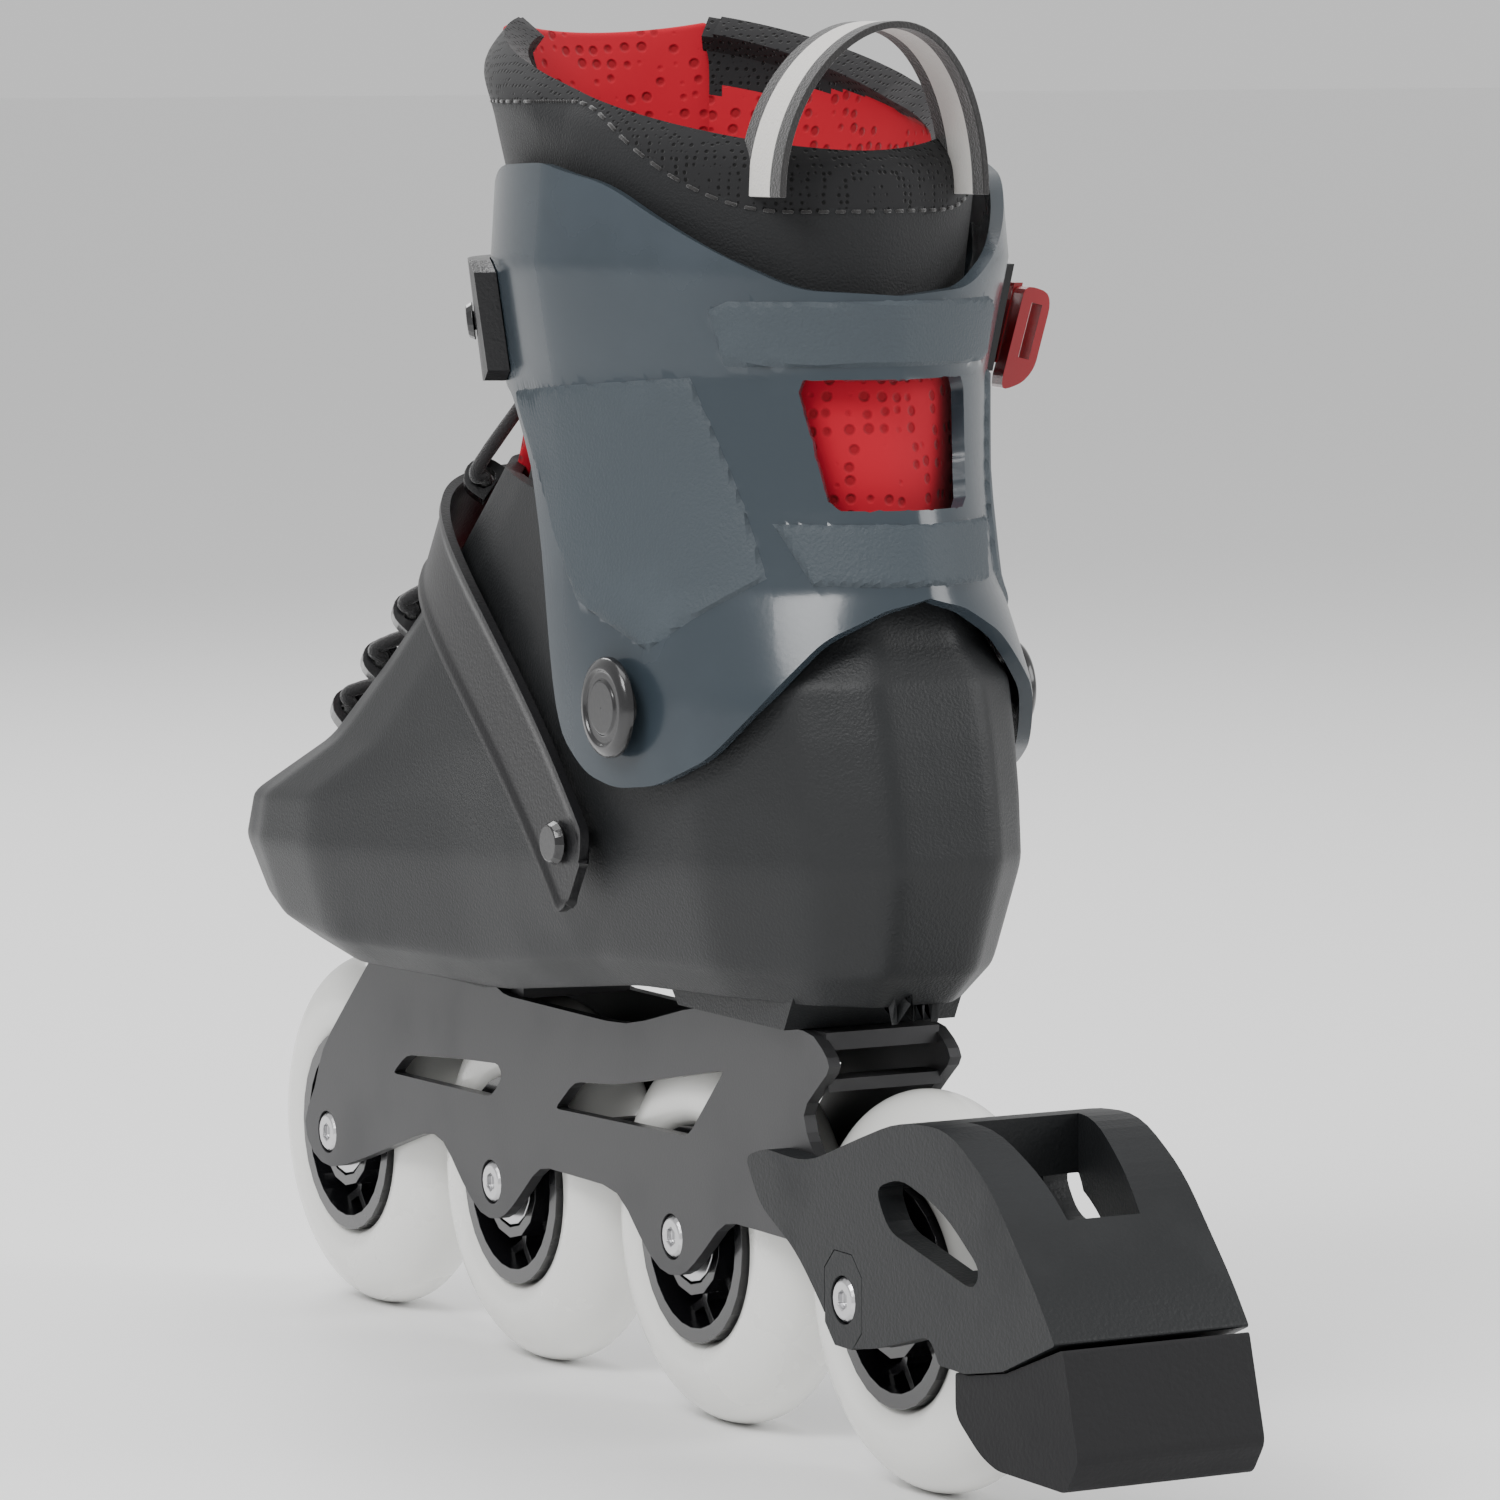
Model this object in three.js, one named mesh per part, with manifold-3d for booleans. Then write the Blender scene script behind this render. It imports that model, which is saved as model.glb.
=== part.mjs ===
// Inline skate, right foot: four wheels in a side-wall frame, heel brake, hard boot with liner,
// hinged cuff with a ratchet strap, and an instep strap with its own ratchet.
// Millimetres, +Z up. +X is the inner (medial) side, -Y the toe. The origin lies on the floor
// under the middle of the skate's box.
import * as THREE from 'three';
import { mergeVertices } from 'three/addons/utils/BufferGeometryUtils.js';
import Module from 'manifold-3d';

const wasm = await Module();
wasm.setup();

// ---------------------------------------------------------------- driving sizes
const GAP = 0.3; // between pieces that rest on each other
const RUNNING = 0.25; // radial clearance of a turning fit between faceted rounds
const SIDES = [1, -1]; // medial, lateral

const WHEEL = { count: 4, radius: 45, half: 12, crown: 13, pitch: 95 };
const HUB = { radius: 25.4, rim: 3.6, boss: 14.2, spokes: 7, spokeHalf: 6.5, web: 9 };
const BEARING = { outer: 11, bore: 4, width: 7 };
const AXLE = { radius: 3.8, headRadius: 5.2, headDepth: 2.2, socket: 2.3 };
const FRAME = { half: 17, wall: 3, axleBoss: 7.5, plate: 4, frontTop: 95, rearTop: 100.8, dip: 91.8 };
const BRAKE = { half: 24, wall: 6.2, ridge: 22 };
const SHELL = { wall: 4, throat: 19, soleHalf: 27 };
const ANKLE = { y: 60, pivotY: 85, pivotZ: 173, capRadius: 11.4, bolt: 6 };
const CUFF = { wall: 3, flare: 3, slope: 0.28 };
const LINER = { clearance: 1.5, padding: 7 };
const TONGUE = { half: 25, thick: 5, arch: 38 };
const CUFF_STRAP = { z: 258, half: 9.5, thick: 2.4 };
const INSTEP = { y: 58, z: 140, pitch: 33, half: 12, tongueHalf: 9.5, thick: 3, reach: 125, span: 46.2,
  medial: 2.3,  bow: 8 };
const BUCKLE = { half: 12.2, plate: 2.5, ear: 2, pinRadius: 2, pinHeight: 9.9, hub: 3.6 };
const LACE = { radius: 1.7 };
const LOOP = { half: 25, rise: 37, width: 20, thick: 1.6 };

const firstAxleY = -WHEEL.pitch * (WHEEL.count - 1) / 2;
const axleY = (i) => firstAxleY + WHEEL.pitch * i;
const lastAxleY = axleY(WHEEL.count - 1);

// ---------------------------------------------------------------- small tools
const V = (x, y, z) => new THREE.Vector3(x, y, z);
const lerp = THREE.MathUtils.lerp;
const radians = THREE.MathUtils.degToRad;
const clamp = THREE.MathUtils.clamp;

// Smooth value at t of a curve through named stations [at, value].
function along(stations, t) {
  const last = stations.length - 1;
  if (t <= stations[0][0]) return stations[0][1];
  if (t >= stations[last][0]) return stations[last][1];
  const i = stations.findIndex((s, k) => k < last && t <= stations[k + 1][0]);
  const [a, b] = [stations[i], stations[i + 1]];
  return lerp(a[1], b[1], THREE.MathUtils.smoothstep(t, a[0], b[0]));
}

function flat(stations, t) {
  const last = stations.length - 1;
  if (t <= stations[0][0]) return stations[0][1];
  if (t >= stations[last][0]) return stations[last][1];
  const i = stations.findIndex((s, k) => k < last && t <= stations[k + 1][0]);
  const [a, b] = [stations[i], stations[i + 1]];
  return lerp(a[1], b[1], (t - a[0]) / (b[0] - a[0]));
}

function volumeOf(points, faces) {
  let six = 0;
  for (const [a, b, c] of faces) six += points[a].dot(points[b].clone().cross(points[c]));
  return six / 6;
}

// Closed body from points and triangles, with its faces turned outwards.
function bodyFrom(points, faces) {
  const turned = volumeOf(points, faces) < 0 ? faces.map(([a, b, c]) => [a, c, b]) : faces;
  const geometry = new THREE.BufferGeometry();
  geometry.setAttribute('position', new THREE.Float32BufferAttribute(points.flatMap((p) => p.toArray()), 3));
  geometry.setIndex(turned.flat());
  return geometry;
}

// Body through a stack of rings of equal count, each end closed by strips between its two sides.
function loft(rings) {
  const n = rings[0].length;
  const points = rings.flat();
  const faces = [];
  for (let r = 0; r + 1 < rings.length; r++) {
    for (let i = 0; i < n; i++) {
      const [a, b] = [r * n + i, r * n + (i + 1) % n];
      faces.push([a, b, b + n], [a, b + n, a + n]);
    }
  }
  const cap = (start, i, flip) => {
    const corners = [i, i + 1, n - i - 1, (n - i) % n];
    const [a, b, c, d] = corners.map((k) => start + k);
    for (const face of [[a, b, c], [a, c, d]]) {
      if (new Set(face).size === 3) faces.push(flip ? face.reverse() : face);
    }
  };
  for (let i = 0; i < Math.ceil(n / 2); i++) {
    if (2 * i + 1 > n) break;
    cap(0, i, true);
    cap((rings.length - 1) * n, i, false);
  }
  return bodyFrom(points, faces);
}

// Sheet with a thickness: outer(u, v) and inner(u, v) are its two faces; cells that keep() refuses
// are openings, and every free edge gets its wall.
function sheet({ across, up, wrap = false, outer, inner, keep = () => true }) {
  const wide = wrap ? across : across + 1;
  const id = (i, j) => (i % wide) * (up + 1) + j;
  const points = [];
  for (const face of [outer, inner]) {
    for (let i = 0; i < wide; i++) {
      for (let j = 0; j <= up; j++) points.push(face(i, j));
    }
  }
  const back = wide * (up + 1);
  const faces = [];
  const quad = (a, b, c, d) => faces.push([a, b, c], [a, c, d]);
  const has = (i, j) => {
    if (j < 0 || j >= up) return false;
    if (wrap) return keep((i + across) % across, j);
    return i >= 0 && i < across && keep(i, j);
  };
  for (let i = 0; i < across; i++) {
    for (let j = 0; j < up; j++) {
      if (!has(i, j)) continue;
      const [a, b, c, d] = [id(i, j), id(i + 1, j), id(i + 1, j + 1), id(i, j + 1)];
      quad(a, b, c, d);
      quad(back + d, back + c, back + b, back + a);
      if (!has(i, j - 1)) quad(a, back + a, back + b, b);
      if (!has(i + 1, j)) quad(b, back + b, back + c, c);
      if (!has(i, j + 1)) quad(c, back + c, back + d, d);
      if (!has(i - 1, j)) quad(d, back + d, back + a, a);
    }
  }
  const merged = mergeVertices(bodyFrom(points, faces), 1e-4);
  return merged;
}

function solid(geometry) {
  const bare = geometry.clone();
  for (const name of Object.keys(bare.attributes)) {
    if (name !== 'position') bare.deleteAttribute(name);
  }
  const merged = mergeVertices(bare, 1e-4);
  const index = merged.index.array;
  const real = [];
  for (let i = 0; i < index.length; i += 3) {
    const [a, b, c] = [index[i], index[i + 1], index[i + 2]];
    if (a !== b && b !== c && c !== a) real.push(a, b, c);
  }
  return new wasm.Manifold(new wasm.Mesh({
    numProp: 3,
    vertProperties: new Float32Array(merged.attributes.position.array),
    triVerts: new Uint32Array(real),
  }));
}

function geometryOf(body) {
  const mesh = body.getMesh();
  const geometry = new THREE.BufferGeometry();
  geometry.setAttribute('position', new THREE.Float32BufferAttribute(mesh.vertProperties, 3));
  geometry.setIndex(new THREE.Uint32BufferAttribute(mesh.triVerts, 1));
  return geometry;
}

const join = (first, ...more) => geometryOf(more.reduce((body, g) => body.add(solid(g)), solid(first)));
const cut = (first, ...more) => geometryOf(more.reduce((body, g) => body.subtract(solid(g)), solid(first)));

function box(x0, x1, y0, y1, z0, z1) {
  return new THREE.BoxGeometry(x1 - x0, y1 - y0, z1 - z0)
    .translate((x0 + x1) / 2, (y0 + y1) / 2, (z0 + z1) / 2);
}

// Rod between two x values on the line (y, z).
function rodX(radius, x0, x1, y, z, segments = 16) {
  return new THREE.CylinderGeometry(radius, radius, x1 - x0, segments)
    .rotateZ(-Math.PI / 2).translate((x0 + x1) / 2, y, z);
}

function rodZ(radius, z0, z1, x, y, segments = 16) {
  return new THREE.CylinderGeometry(radius, radius, z1 - z0, segments)
    .rotateX(Math.PI / 2).translate(x, y, (z0 + z1) / 2);
}

// Round body turned about the X axis from [radius, x] points that start and end on one another.
function turnedX(profile, segments) {
  const points = [...profile, profile[0]].map(([r, x]) => new THREE.Vector2(r, x));
  const lathe = new THREE.LatheGeometry(points, segments).rotateZ(-Math.PI / 2);
  return outwards(lathe);
}

// The same geometry with its faces turned outwards.
function outwards(geometry) {
  const body = solid(geometry);
  if (body.volume() > 0) return geometryOf(body);
  const index = geometry.index.array;
  for (let i = 0; i < index.length; i += 3) [index[i], index[i + 1]] = [index[i + 1], index[i]];
  return geometryOf(solid(geometry));
}

function shapeOf(points, holes = []) {
  const shape = new THREE.Shape(points.map(([a, b]) => new THREE.Vector2(a, b)));
  shape.holes = holes.map((hole) => new THREE.Path(hole.map(([a, b]) => new THREE.Vector2(a, b))));
  return shape;
}

// Side-view outline in (y, z) with thickness from x0 to x1.
function plateX(shape, x0, x1, curveSegments = 4) {
  const plate = new THREE.ExtrudeGeometry(shape, { depth: x1 - x0, bevelEnabled: false, curveSegments });
  const basis = new THREE.Matrix4().makeBasis(V(0, 1, 0), V(0, 0, 1), V(1, 0, 0));
  return plate.applyMatrix4(basis).translate(x0, 0, 0);
}

// Outline whose corners are rounded by quadratic curves: each point is [y, z, radius].
function roundedShape(points) {
  const shape = new THREE.Shape();
  const n = points.length;
  points.forEach(([y, z, radius = 0], i) => {
    const here = new THREE.Vector2(y, z);
    const [before, after] = [points[(i + n - 1) % n], points[(i + 1) % n]]
      .map((p) => new THREE.Vector2(p[0], p[1]).sub(here));
    const [start, end] = [before, after]
      .map((v) => here.clone().add(v.setLength(Math.min(radius, v.length() * 0.45))));
    if (i === 0) shape.moveTo(start.x, start.y);
    else shape.lineTo(start.x, start.y);
    if (radius > 0) shape.quadraticCurveTo(here.x, here.y, end.x, end.y);
  });
  shape.closePath();
  return shape;
}

// ---------------------------------------------------------------- wheels
function tyreGeometry() {
  const inner = HUB.radius + GAP;
  const shoulder = WHEEL.radius - WHEEL.crown;
  const crown = [];
  const steps = 8;
  for (let i = 0; i <= steps; i++) {
    const angle = Math.PI * (i / steps);
    crown.push([shoulder + WHEEL.crown * Math.sin(angle), -WHEEL.half * Math.cos(angle)]);
  }
  return turnedX([[inner, -WHEEL.half], ...crown, [inner, WHEEL.half]], 32);
}

function hubGeometry() {
  const seat = BEARING.outer + 2 * GAP;
  const inside = HUB.radius - HUB.rim;
  const shoulder = WHEEL.half - BEARING.width - 0.1;
  const rim = turnedX([[inside, -WHEEL.half], [HUB.radius, -WHEEL.half],
    [HUB.radius, WHEEL.half], [inside, WHEEL.half]], 28);
  const boss = turnedX([[seat, -WHEEL.half], [HUB.boss, -WHEEL.half], [HUB.boss, WHEEL.half],
    [seat, WHEEL.half], [seat, shoulder], [HUB.web, shoulder], [HUB.web, -shoulder], [seat, -shoulder]], 14);
  const [root, fork, tip] = [HUB.boss - 1, HUB.boss + 3.2, inside + 1];
  const spread = Math.PI / HUB.spokes * 0.62;
  const arm = 1.1;
  const polar = (r, angle, side) => [r * Math.cos(angle) - side * Math.sin(angle),
    r * Math.sin(angle) + side * Math.cos(angle)];
  const spoke = [polar(root, 0, -arm), polar(fork - 1, 0, -arm), polar(tip, -spread, -arm),
    polar(tip, -spread, arm), polar(fork + 1, 0, 0), polar(tip, spread, -arm), polar(tip, spread, arm),
    polar(fork - 1, 0, arm), polar(root, 0, arm)];
  const spokes = [];
  for (let k = 0; k < HUB.spokes; k++) {
    const plate = plateX(shapeOf(spoke), -HUB.spokeHalf, HUB.spokeHalf);
    spokes.push(plate.rotateX(k * 2 * Math.PI / HUB.spokes));
  }
  return join(rim, boss, ...spokes);
}

function bearingGeometry() {
  const half = BEARING.width / 2;
  const bore = BEARING.bore + 0.05;
  return turnedX([[bore, -half], [BEARING.outer, -half], [BEARING.outer, half], [bore, half]], 16);
}

function spacerGeometry() {
  const half = WHEEL.half - BEARING.width - GAP / 2;
  return turnedX([[BEARING.bore + 0.2, -half], [5.6, -half], [5.6, half], [BEARING.bore + 0.2, half]], 12);
}

// Axle screw: its button head lies in the medial face, a blind hexagon socket in it.
function axleGeometry(seatX, farX) {
  const head = turnedX([[0, seatX], [AXLE.headRadius, seatX], [AXLE.headRadius, seatX + 1.1],
    [AXLE.headRadius - 1, seatX + AXLE.headDepth], [0, seatX + AXLE.headDepth]], 20);
  const shank = rodX(AXLE.radius, farX, seatX + 0.5, 0, 0, 20);
  const socketFloor = seatX + AXLE.headDepth - 1.4;
  return cut(join(head, shank), rodX(AXLE.socket, socketFloor, seatX + 10, 0, 0, 6));
}

// ---------------------------------------------------------------- frame
const LOBE = { below: 9, foreReach: 27, aftReach: 26.5, bay: 52.5 };

// Lower edge of the side wall from the rear axle's lobe to the front one.
function lobePoints(y) {
  const base = WHEEL.radius;
  return [[y + LOBE.aftReach, LOBE.bay, 5], [y + 11, base - 5, 5], [y + 4, base - LOBE.below, 5],
    [y - 6, base - LOBE.below, 6], [y - 16, base - 2.5, 6], [y - LOBE.foreReach, LOBE.bay, 8]];
}

function frameOutline() {
  const frontY = firstAxleY;
  const rearY = lastAxleY;
  const front = [[frontY + 20, 40.5, 8], [frontY + 2, 35.7, 6], [frontY - 9, 38, 6], [frontY - 15, 46, 6],
    [frontY - 7, 55.5, 6], [frontY - 3, 66, 8], [frontY + 15, 82, 10], [frontY + 30, FRAME.frontTop, 3]];
  const top = [[-48, FRAME.frontTop, 2], [-40, FRAME.dip, 4], [25, FRAME.dip, 10], [62, FRAME.rearTop, 8],
    [117, FRAME.rearTop, 5], [125, 94, 3], [117, 87.6, 6], [110.5, 82, 5], [118, 71, 6]];
  const rear = [[rearY, 62, 8], [rearY + 12, 52, 6], [rearY + 11, 41, 6], [rearY + 4, 36, 5],
    [rearY - 6, 36, 6], [rearY - 16, 42.5, 6], [rearY - LOBE.foreReach, LOBE.bay, 8]];
  const lower = [2, 1].flatMap((i) => lobePoints(axleY(i)));
  return roundedShape([...front, ...top, ...rear, ...lower, [frontY + 58, LOBE.bay, 8]]);
}

// Slanted windows between the wheels, as in the side walls of an extruded frame.
const FRAME_WINDOWS = [
  [[-103, 65, 2], [-95, 70.5, 3], [-62, 73.4, 3], [-43, 74.6, 2], [-41, 71.5, 2], [-47, 66, 3]],
  [[-12.5, 67.5, 2], [-2, 75.2, 3], [20, 77.2, 4], [74, 87.2, 2], [56, 69.6, 3]],
];

function frameGeometry() {
  const { half, wall, plate } = FRAME;
  const inner = half - wall;
  const windows = FRAME_WINDOWS.map((points) => plateX(roundedShape(points), -half - 1, half + 1, 2));
  const block = cut(plateX(frameOutline(), -half, half, 2), ...windows);
  const channel = box(-inner, inner, -200, 200, 0, 200);
  const webs = [
    box(-inner - 0.5, inner + 0.5, -112, -34, FRAME.frontTop - plate + 0.4, FRAME.frontTop),
    box(-inner - 0.5, inner + 0.5, 58, 118, FRAME.rearTop - plate, FRAME.rearTop),
    box(-inner - 0.5, inner + 0.5, -1.5, 1.5, 55, 66),
    box(-inner - 0.5, inner + 0.5, 110.8, 119, 87.6, 90.4),
  ];
  const bosses = [];
  const bores = [];
  for (let i = 0; i < WHEEL.count; i++) {
    const y = axleY(i);
    for (const side of SIDES) {
      const [a, b] = [side * (WHEEL.half + GAP), side * (inner + 0.5)].sort((p, q) => p - q);
      bosses.push(rodX(FRAME.axleBoss, a, b, y, WHEEL.radius));
    }
    bores.push(rodX(AXLE.radius + RUNNING, -half - 1, half + 1, y, WHEEL.radius, 20));
    if (i < WHEEL.count - 1) {
      bores.push(rodX(AXLE.headRadius + RUNNING, half - AXLE.headDepth, half + 1, y, WHEEL.radius, 20));
    }
  }
  for (const y of MOUNT_Y) bores.push(rodZ(MOUNT.radius + RUNNING, 80, 110, 0, y));
  return cut(join(cut(block, channel), ...webs, ...bosses), ...bores);
}

const MOUNT = { radius: 3, head: 6.5, headDepth: 2.2 };
const MOUNT_Y = [-70, 84];

// ---------------------------------------------------------------- heel brake
function brakeArmGeometry() {
  const { half, wall, ridge } = BRAKE;
  const axle = lastAxleY;
  const side = roundedShape([[97, 71, 3], [106, 74, 4], [126, 73.4, 8], [150, 82, 8], [168, 88, 10],
    [189, 89, 8], [207, 79, 8], [227, 58, 6], [234, 49, 1], [212, 40, 1], [196, 37, 1], [185, 37.2, 1],
    [181, 43, 4], [axle + 12, 35.6, 8], [axle - 2, 34.6, 6], [axle - 11, 43.5, 8], [axle - 22, 53, 6],
    [104, 61, 4]]);
  const centre = roundedShape([[186, 73, 2], [194, 68.2, 3], [220.6, 53.4, 2], [232, 49.2, 1],
    [212, 40.2, 1], [196, 37.2, 1], [186, 40, 1]]);
  const slot = roundedShape([[157, 72, 4], [168, 75.6, 5], [187, 71, 8], [203, 60.5, 4], [200, 55.6, 4],
    [163, 63.4, 4]]);
  const block = join(plateX(side, -half, half), plateX(centre, -half + 1, half - 1));
  const spread = plateX(shapeOf([[80, 20], [axle, 20], [axle, 110], [80, 110]]), -half + wall, half - wall);
  const wheelRoom = rodX(WHEEL.radius + 3.5, -half + wall, half - wall, axle, WHEEL.radius, 40);
  const valley = loft([
    [V(-14, 180, 95), V(14, 180, 95), V(14, 180, 60), V(-14, 180, 60)],
    [V(-9, 214, 95), V(9, 214, 95), V(9, 214, 60), V(-9, 214, 60)],
  ]);
  const inserts = SIDES.map((s) => insertCutter(s, 0.15));
  return cut(block, spread, wheelRoom, valley, plateX(slot, -half - 1, half + 1),
    rodX(AXLE.radius + RUNNING, -half - 1, half + 1, axle, WHEEL.radius, 20), ...inserts,
    rodZ(STUD.radius + RUNNING, 20, STUD.top + GAP, 0, STUD.y));
}

const STUD = { radius: 2.5, top: 50, y: 207 }; // the pad's fixing stud
const INSERT = { y: 8.4, z: 10.6, corner: 4.5, depth: 3 };

function insertShape(extra) {
  const [y, z, c] = [INSERT.y + extra, INSERT.z + extra, INSERT.corner];
  const points = [[-y, -z + c], [-y + c, -z], [y - c, -z], [y, -z + c], [y, z - c], [y - c, z], [-y + c, z],
    [-y, z - c]];
  return shapeOf(points.map(([a, b]) => [a + lastAxleY, b + WHEEL.radius]));
}

function insertCutter(side, extra) {
  const inner = BRAKE.half - INSERT.depth - (extra > 0 ? GAP : 0);
  const outer = BRAKE.half + (extra > 0 ? 2 : 0);
  return side > 0 ? plateX(insertShape(extra), inner, outer) : plateX(insertShape(extra), -outer, -inner);
}

function insertGeometry(side) {
  const cutters = [rodX(AXLE.radius + RUNNING, -60, 60, lastAxleY, WHEEL.radius, 20)];
  if (side > 0) {
    cutters.push(rodX(AXLE.headRadius + RUNNING, BRAKE.half - AXLE.headDepth + 0.2, 60, lastAxleY,
      WHEEL.radius, 20));
  }
  return cut(insertCutter(side, 0), ...cutters);
}

// Rubber pad: a faceted wedge under the arm's rear end, its wear face flat.
function brakePadGeometry() {
  const joint = [[190.4, 36.6], [196, 36.6], [212, 39.6], [234.4, 48.4]];
  const body = roundedShape([[190.4, 36.5, 1], [190.4, 27, 3], [201, 20, 4], [208, 18, 2], [237, 18, 2],
    [242, 25.5, 2], [235.6, 48.3, 1], [212, 39.6, 0], [196, 36.6, 0]]);
  const wedge = plateX(body, -BRAKE.half + 1, BRAKE.half - 1);
  const wheelRoom = rodX(WHEEL.radius + 3, -30, 30, lastAxleY, WHEEL.radius, 40);
  const chamfers = SIDES.map((s) => loft([
    [V(s * 16, 185, 10), V(s * 40, 185, 10), V(s * 40, 185, 33)],
    [V(s * 16, 250, 10), V(s * 40, 250, 10), V(s * 40, 250, 33)],
  ]));
  const clear = plateX(shapeOf([...joint.map(([y, z]) => [y, z]), [240, 60], [185, 60], [185, 36.6]]),
    -30, 30);
  const stud = rodZ(STUD.radius, 30, STUD.top, 0, STUD.y);
  return join(cut(wedge, wheelRoom, clear, ...chamfers), stud);
}

// ---------------------------------------------------------------- boot outlines
// An outline has a heel end and a toe end, each half a superellipse, and a straight waist between.
const HEEL_STEPS = 7;
const WAIST_STEPS = 4;
const TOE_STEPS = 6;

function end(angle, half, reach, power) {
  const [s, c] = [Math.sin(angle), Math.cos(angle)];
  return [half * Math.pow(Math.max(s, 0), 2 / power), reach * Math.pow(Math.max(c, 0), 2 / power)];
}

// One side of the outline, heel to toe, as [x, y].
function halfOutline(level, inset) {
  const points = [];
  const heelHalf = level.heelHalf - inset;
  const toeHalf = level.toeHalf - inset;
  for (let i = 0; i <= HEEL_STEPS; i++) {
    const angle = (Math.PI / 2) * (i / HEEL_STEPS);
    const [x, y] = end(angle, heelHalf, level.heel - inset - ANKLE.y, level.heelPower);
    points.push([x, ANKLE.y + y]);
  }
  for (let i = 1; i < WAIST_STEPS; i++) {
    const t = i / WAIST_STEPS;
    const waist = level.waist * Math.sin(Math.PI * t);
    points.push([lerp(heelHalf, toeHalf, t) - waist, lerp(ANKLE.y, level.ball, t)]);
  }
  for (let i = 0; i <= TOE_STEPS; i++) {
    const angle = (Math.PI / 2) * (1 - i / TOE_STEPS);
    const [x, y] = end(angle, toeHalf, level.ball - level.toe - inset, level.toePower);
    points.push([x, level.ball - y]);
  }
  return points;
}

const SOLE_DIP = { depth: 9.5, at: 0.4, half: 0.4 };
function soleDip(share) {
  const off = Math.abs(share - SOLE_DIP.at) / SOLE_DIP.half;
  return off < 1 ? SOLE_DIP.depth * Math.cos(off * Math.PI / 2) ** 2 : 0;
}

// Ring of a level: the medial side, then the lateral side back to the heel.
function levelRing(level, inset, drop) {
  const half = halfOutline(level, inset);
  const place = ([x, y]) => {
    const share = clamp((y - level.toe) / (level.heel - level.toe), 0, 1);
    const skew = level.skew * (1 - share) ** 2;
    const z = lerp(level.toeZ, level.heelZ, share) - level.dip * soleDip(share) + drop * (1 - share);
    return V(x + skew, y, z);
  };
  const medial = half.map(place);
  const lateral = half.slice(1, -1).reverse().map(([x, y]) => place([-x, y]));
  return [...medial, ...lateral];
}

const LEVELS = [
  { heel: 135, toe: -150, heelHalf: 31, toeHalf: 37, ball: -72, heelZ: 107.5, toeZ: 104, dip: 1, skew: 5 },
  { heel: 143.5, toe: -158, heelHalf: 38, toeHalf: 45, ball: -72, heelZ: 116, toeZ: 109, dip: 0.85, skew: 6 },
  { heel: 151.5, toe: -164, heelHalf: 44, toeHalf: 49.5, ball: -74, heelZ: 140, toeZ: 122, dip: 0.15,
    skew: 7 },
  { heel: 149, toe: -159, heelHalf: 45, toeHalf: 48.5, ball: -74, heelZ: 155, toeZ: 133, dip: 0, skew: 7 },
  { heel: 146, toe: -117, heelHalf: 45.4, toeHalf: 44, ball: -45, heelZ: 168, toeZ: 150, dip: 0, skew: 6 },
  { heel: 142, toe: -88, heelHalf: 45.8, toeHalf: 42, ball: -25, heelZ: 180, toeZ: 171, dip: 0, skew: 4 },
  { heel: 137, toe: -52, heelHalf: 45, toeHalf: 41, ball: -2, heelZ: 188, toeZ: 198, dip: 0, skew: 2 },
  { heel: 131, toe: -22, heelHalf: 44, toeHalf: 39, ball: 18, heelZ: 203, toeZ: 227, dip: 0, skew: 0 },
].map((level, i) => ({ heelPower: i < 6 ? 2.1 : 1.75, toePower: 2, waist: i < 4 ? 2.5 : 0, ...level }));

const above = (level, rise) => ({ ...level, heelZ: level.heelZ + rise, toeZ: level.toeZ + rise });

// Body inside the boot at a distance from the shell's outer face, from its floor up past the rim.
function bootCore(inset, levels, rise = 0) {
  const rings = levels.map((level, i) => {
    const drop = i === 0 ? inset : -0.6 * inset * (i > 2);
    return levelRing(i === 0 ? above(level, inset) : level, inset, i === 0 ? 0 : drop);
  });
  if (rise > 0) rings.push(levelRing(above(levels.at(-1), rise), inset, 0));
  return loft(rings);
}

// ---------------------------------------------------------------- shell
function shellGeometry() {
  const outer = loft(LEVELS.map((level) => levelRing(level, 0, 0)));
  const pads = [
    plateX(roundedShape([[-89, 103, 1], [-80, FRAME.frontTop + GAP, 2], [-30, FRAME.frontTop + GAP, 6],
      [0, 99, 10], [34, 104, 6], [40, 112, 1], [-60, 112, 1]]), -SHELL.soleHalf, SHELL.soleHalf),
    plateX(roundedShape([[52, 112, 1], [60, FRAME.rearTop + GAP, 3], [122, FRAME.rearTop + GAP, 3],
      [128, 112, 1]]), -SHELL.soleHalf + 3, SHELL.soleHalf - 3),
  ];
  const throat = plateX(shapeOf([[-114, 136], [50, 178], [50, 260], [-114, 260]]),
    -SHELL.throat, SHELL.throat);
  const holes = [rodX(ANKLE.bolt + RUNNING, -70, 70, ANKLE.pivotY, ANKLE.pivotZ),
    rodX(2.2 + RUNNING, -70, 70, INSTEP.y, INSTEP.z, 12)];
  for (const y of MOUNT_Y) {
    holes.push(rodZ(MOUNT.radius + RUNNING, 90, 130, 0, y));
  }
  const hollow = bootCore(SHELL.wall, LEVELS, 30);
  return cut(join(outer, ...pads), hollow, throat, ...holes);
}

// ---------------------------------------------------------------- cuff
const CUFF_BACK = [[150, 147.5], [175, 147], [199, 139.8], [218, 133.8], [247, 127.8], [270, 127.8],
  [296, 125]];
const CUFF_HALF = [[150, 50.5], [175, 50.5], [205, 50.2], [225, 50.5], [247, 53], [272, 57], [296, 55]];
const CUFF_POWER = [[178, 2.1], [200, 1.68], [247, 1.6]];
const CUFF_FRONT = 75; // from the ankle line to the closed front

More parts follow.
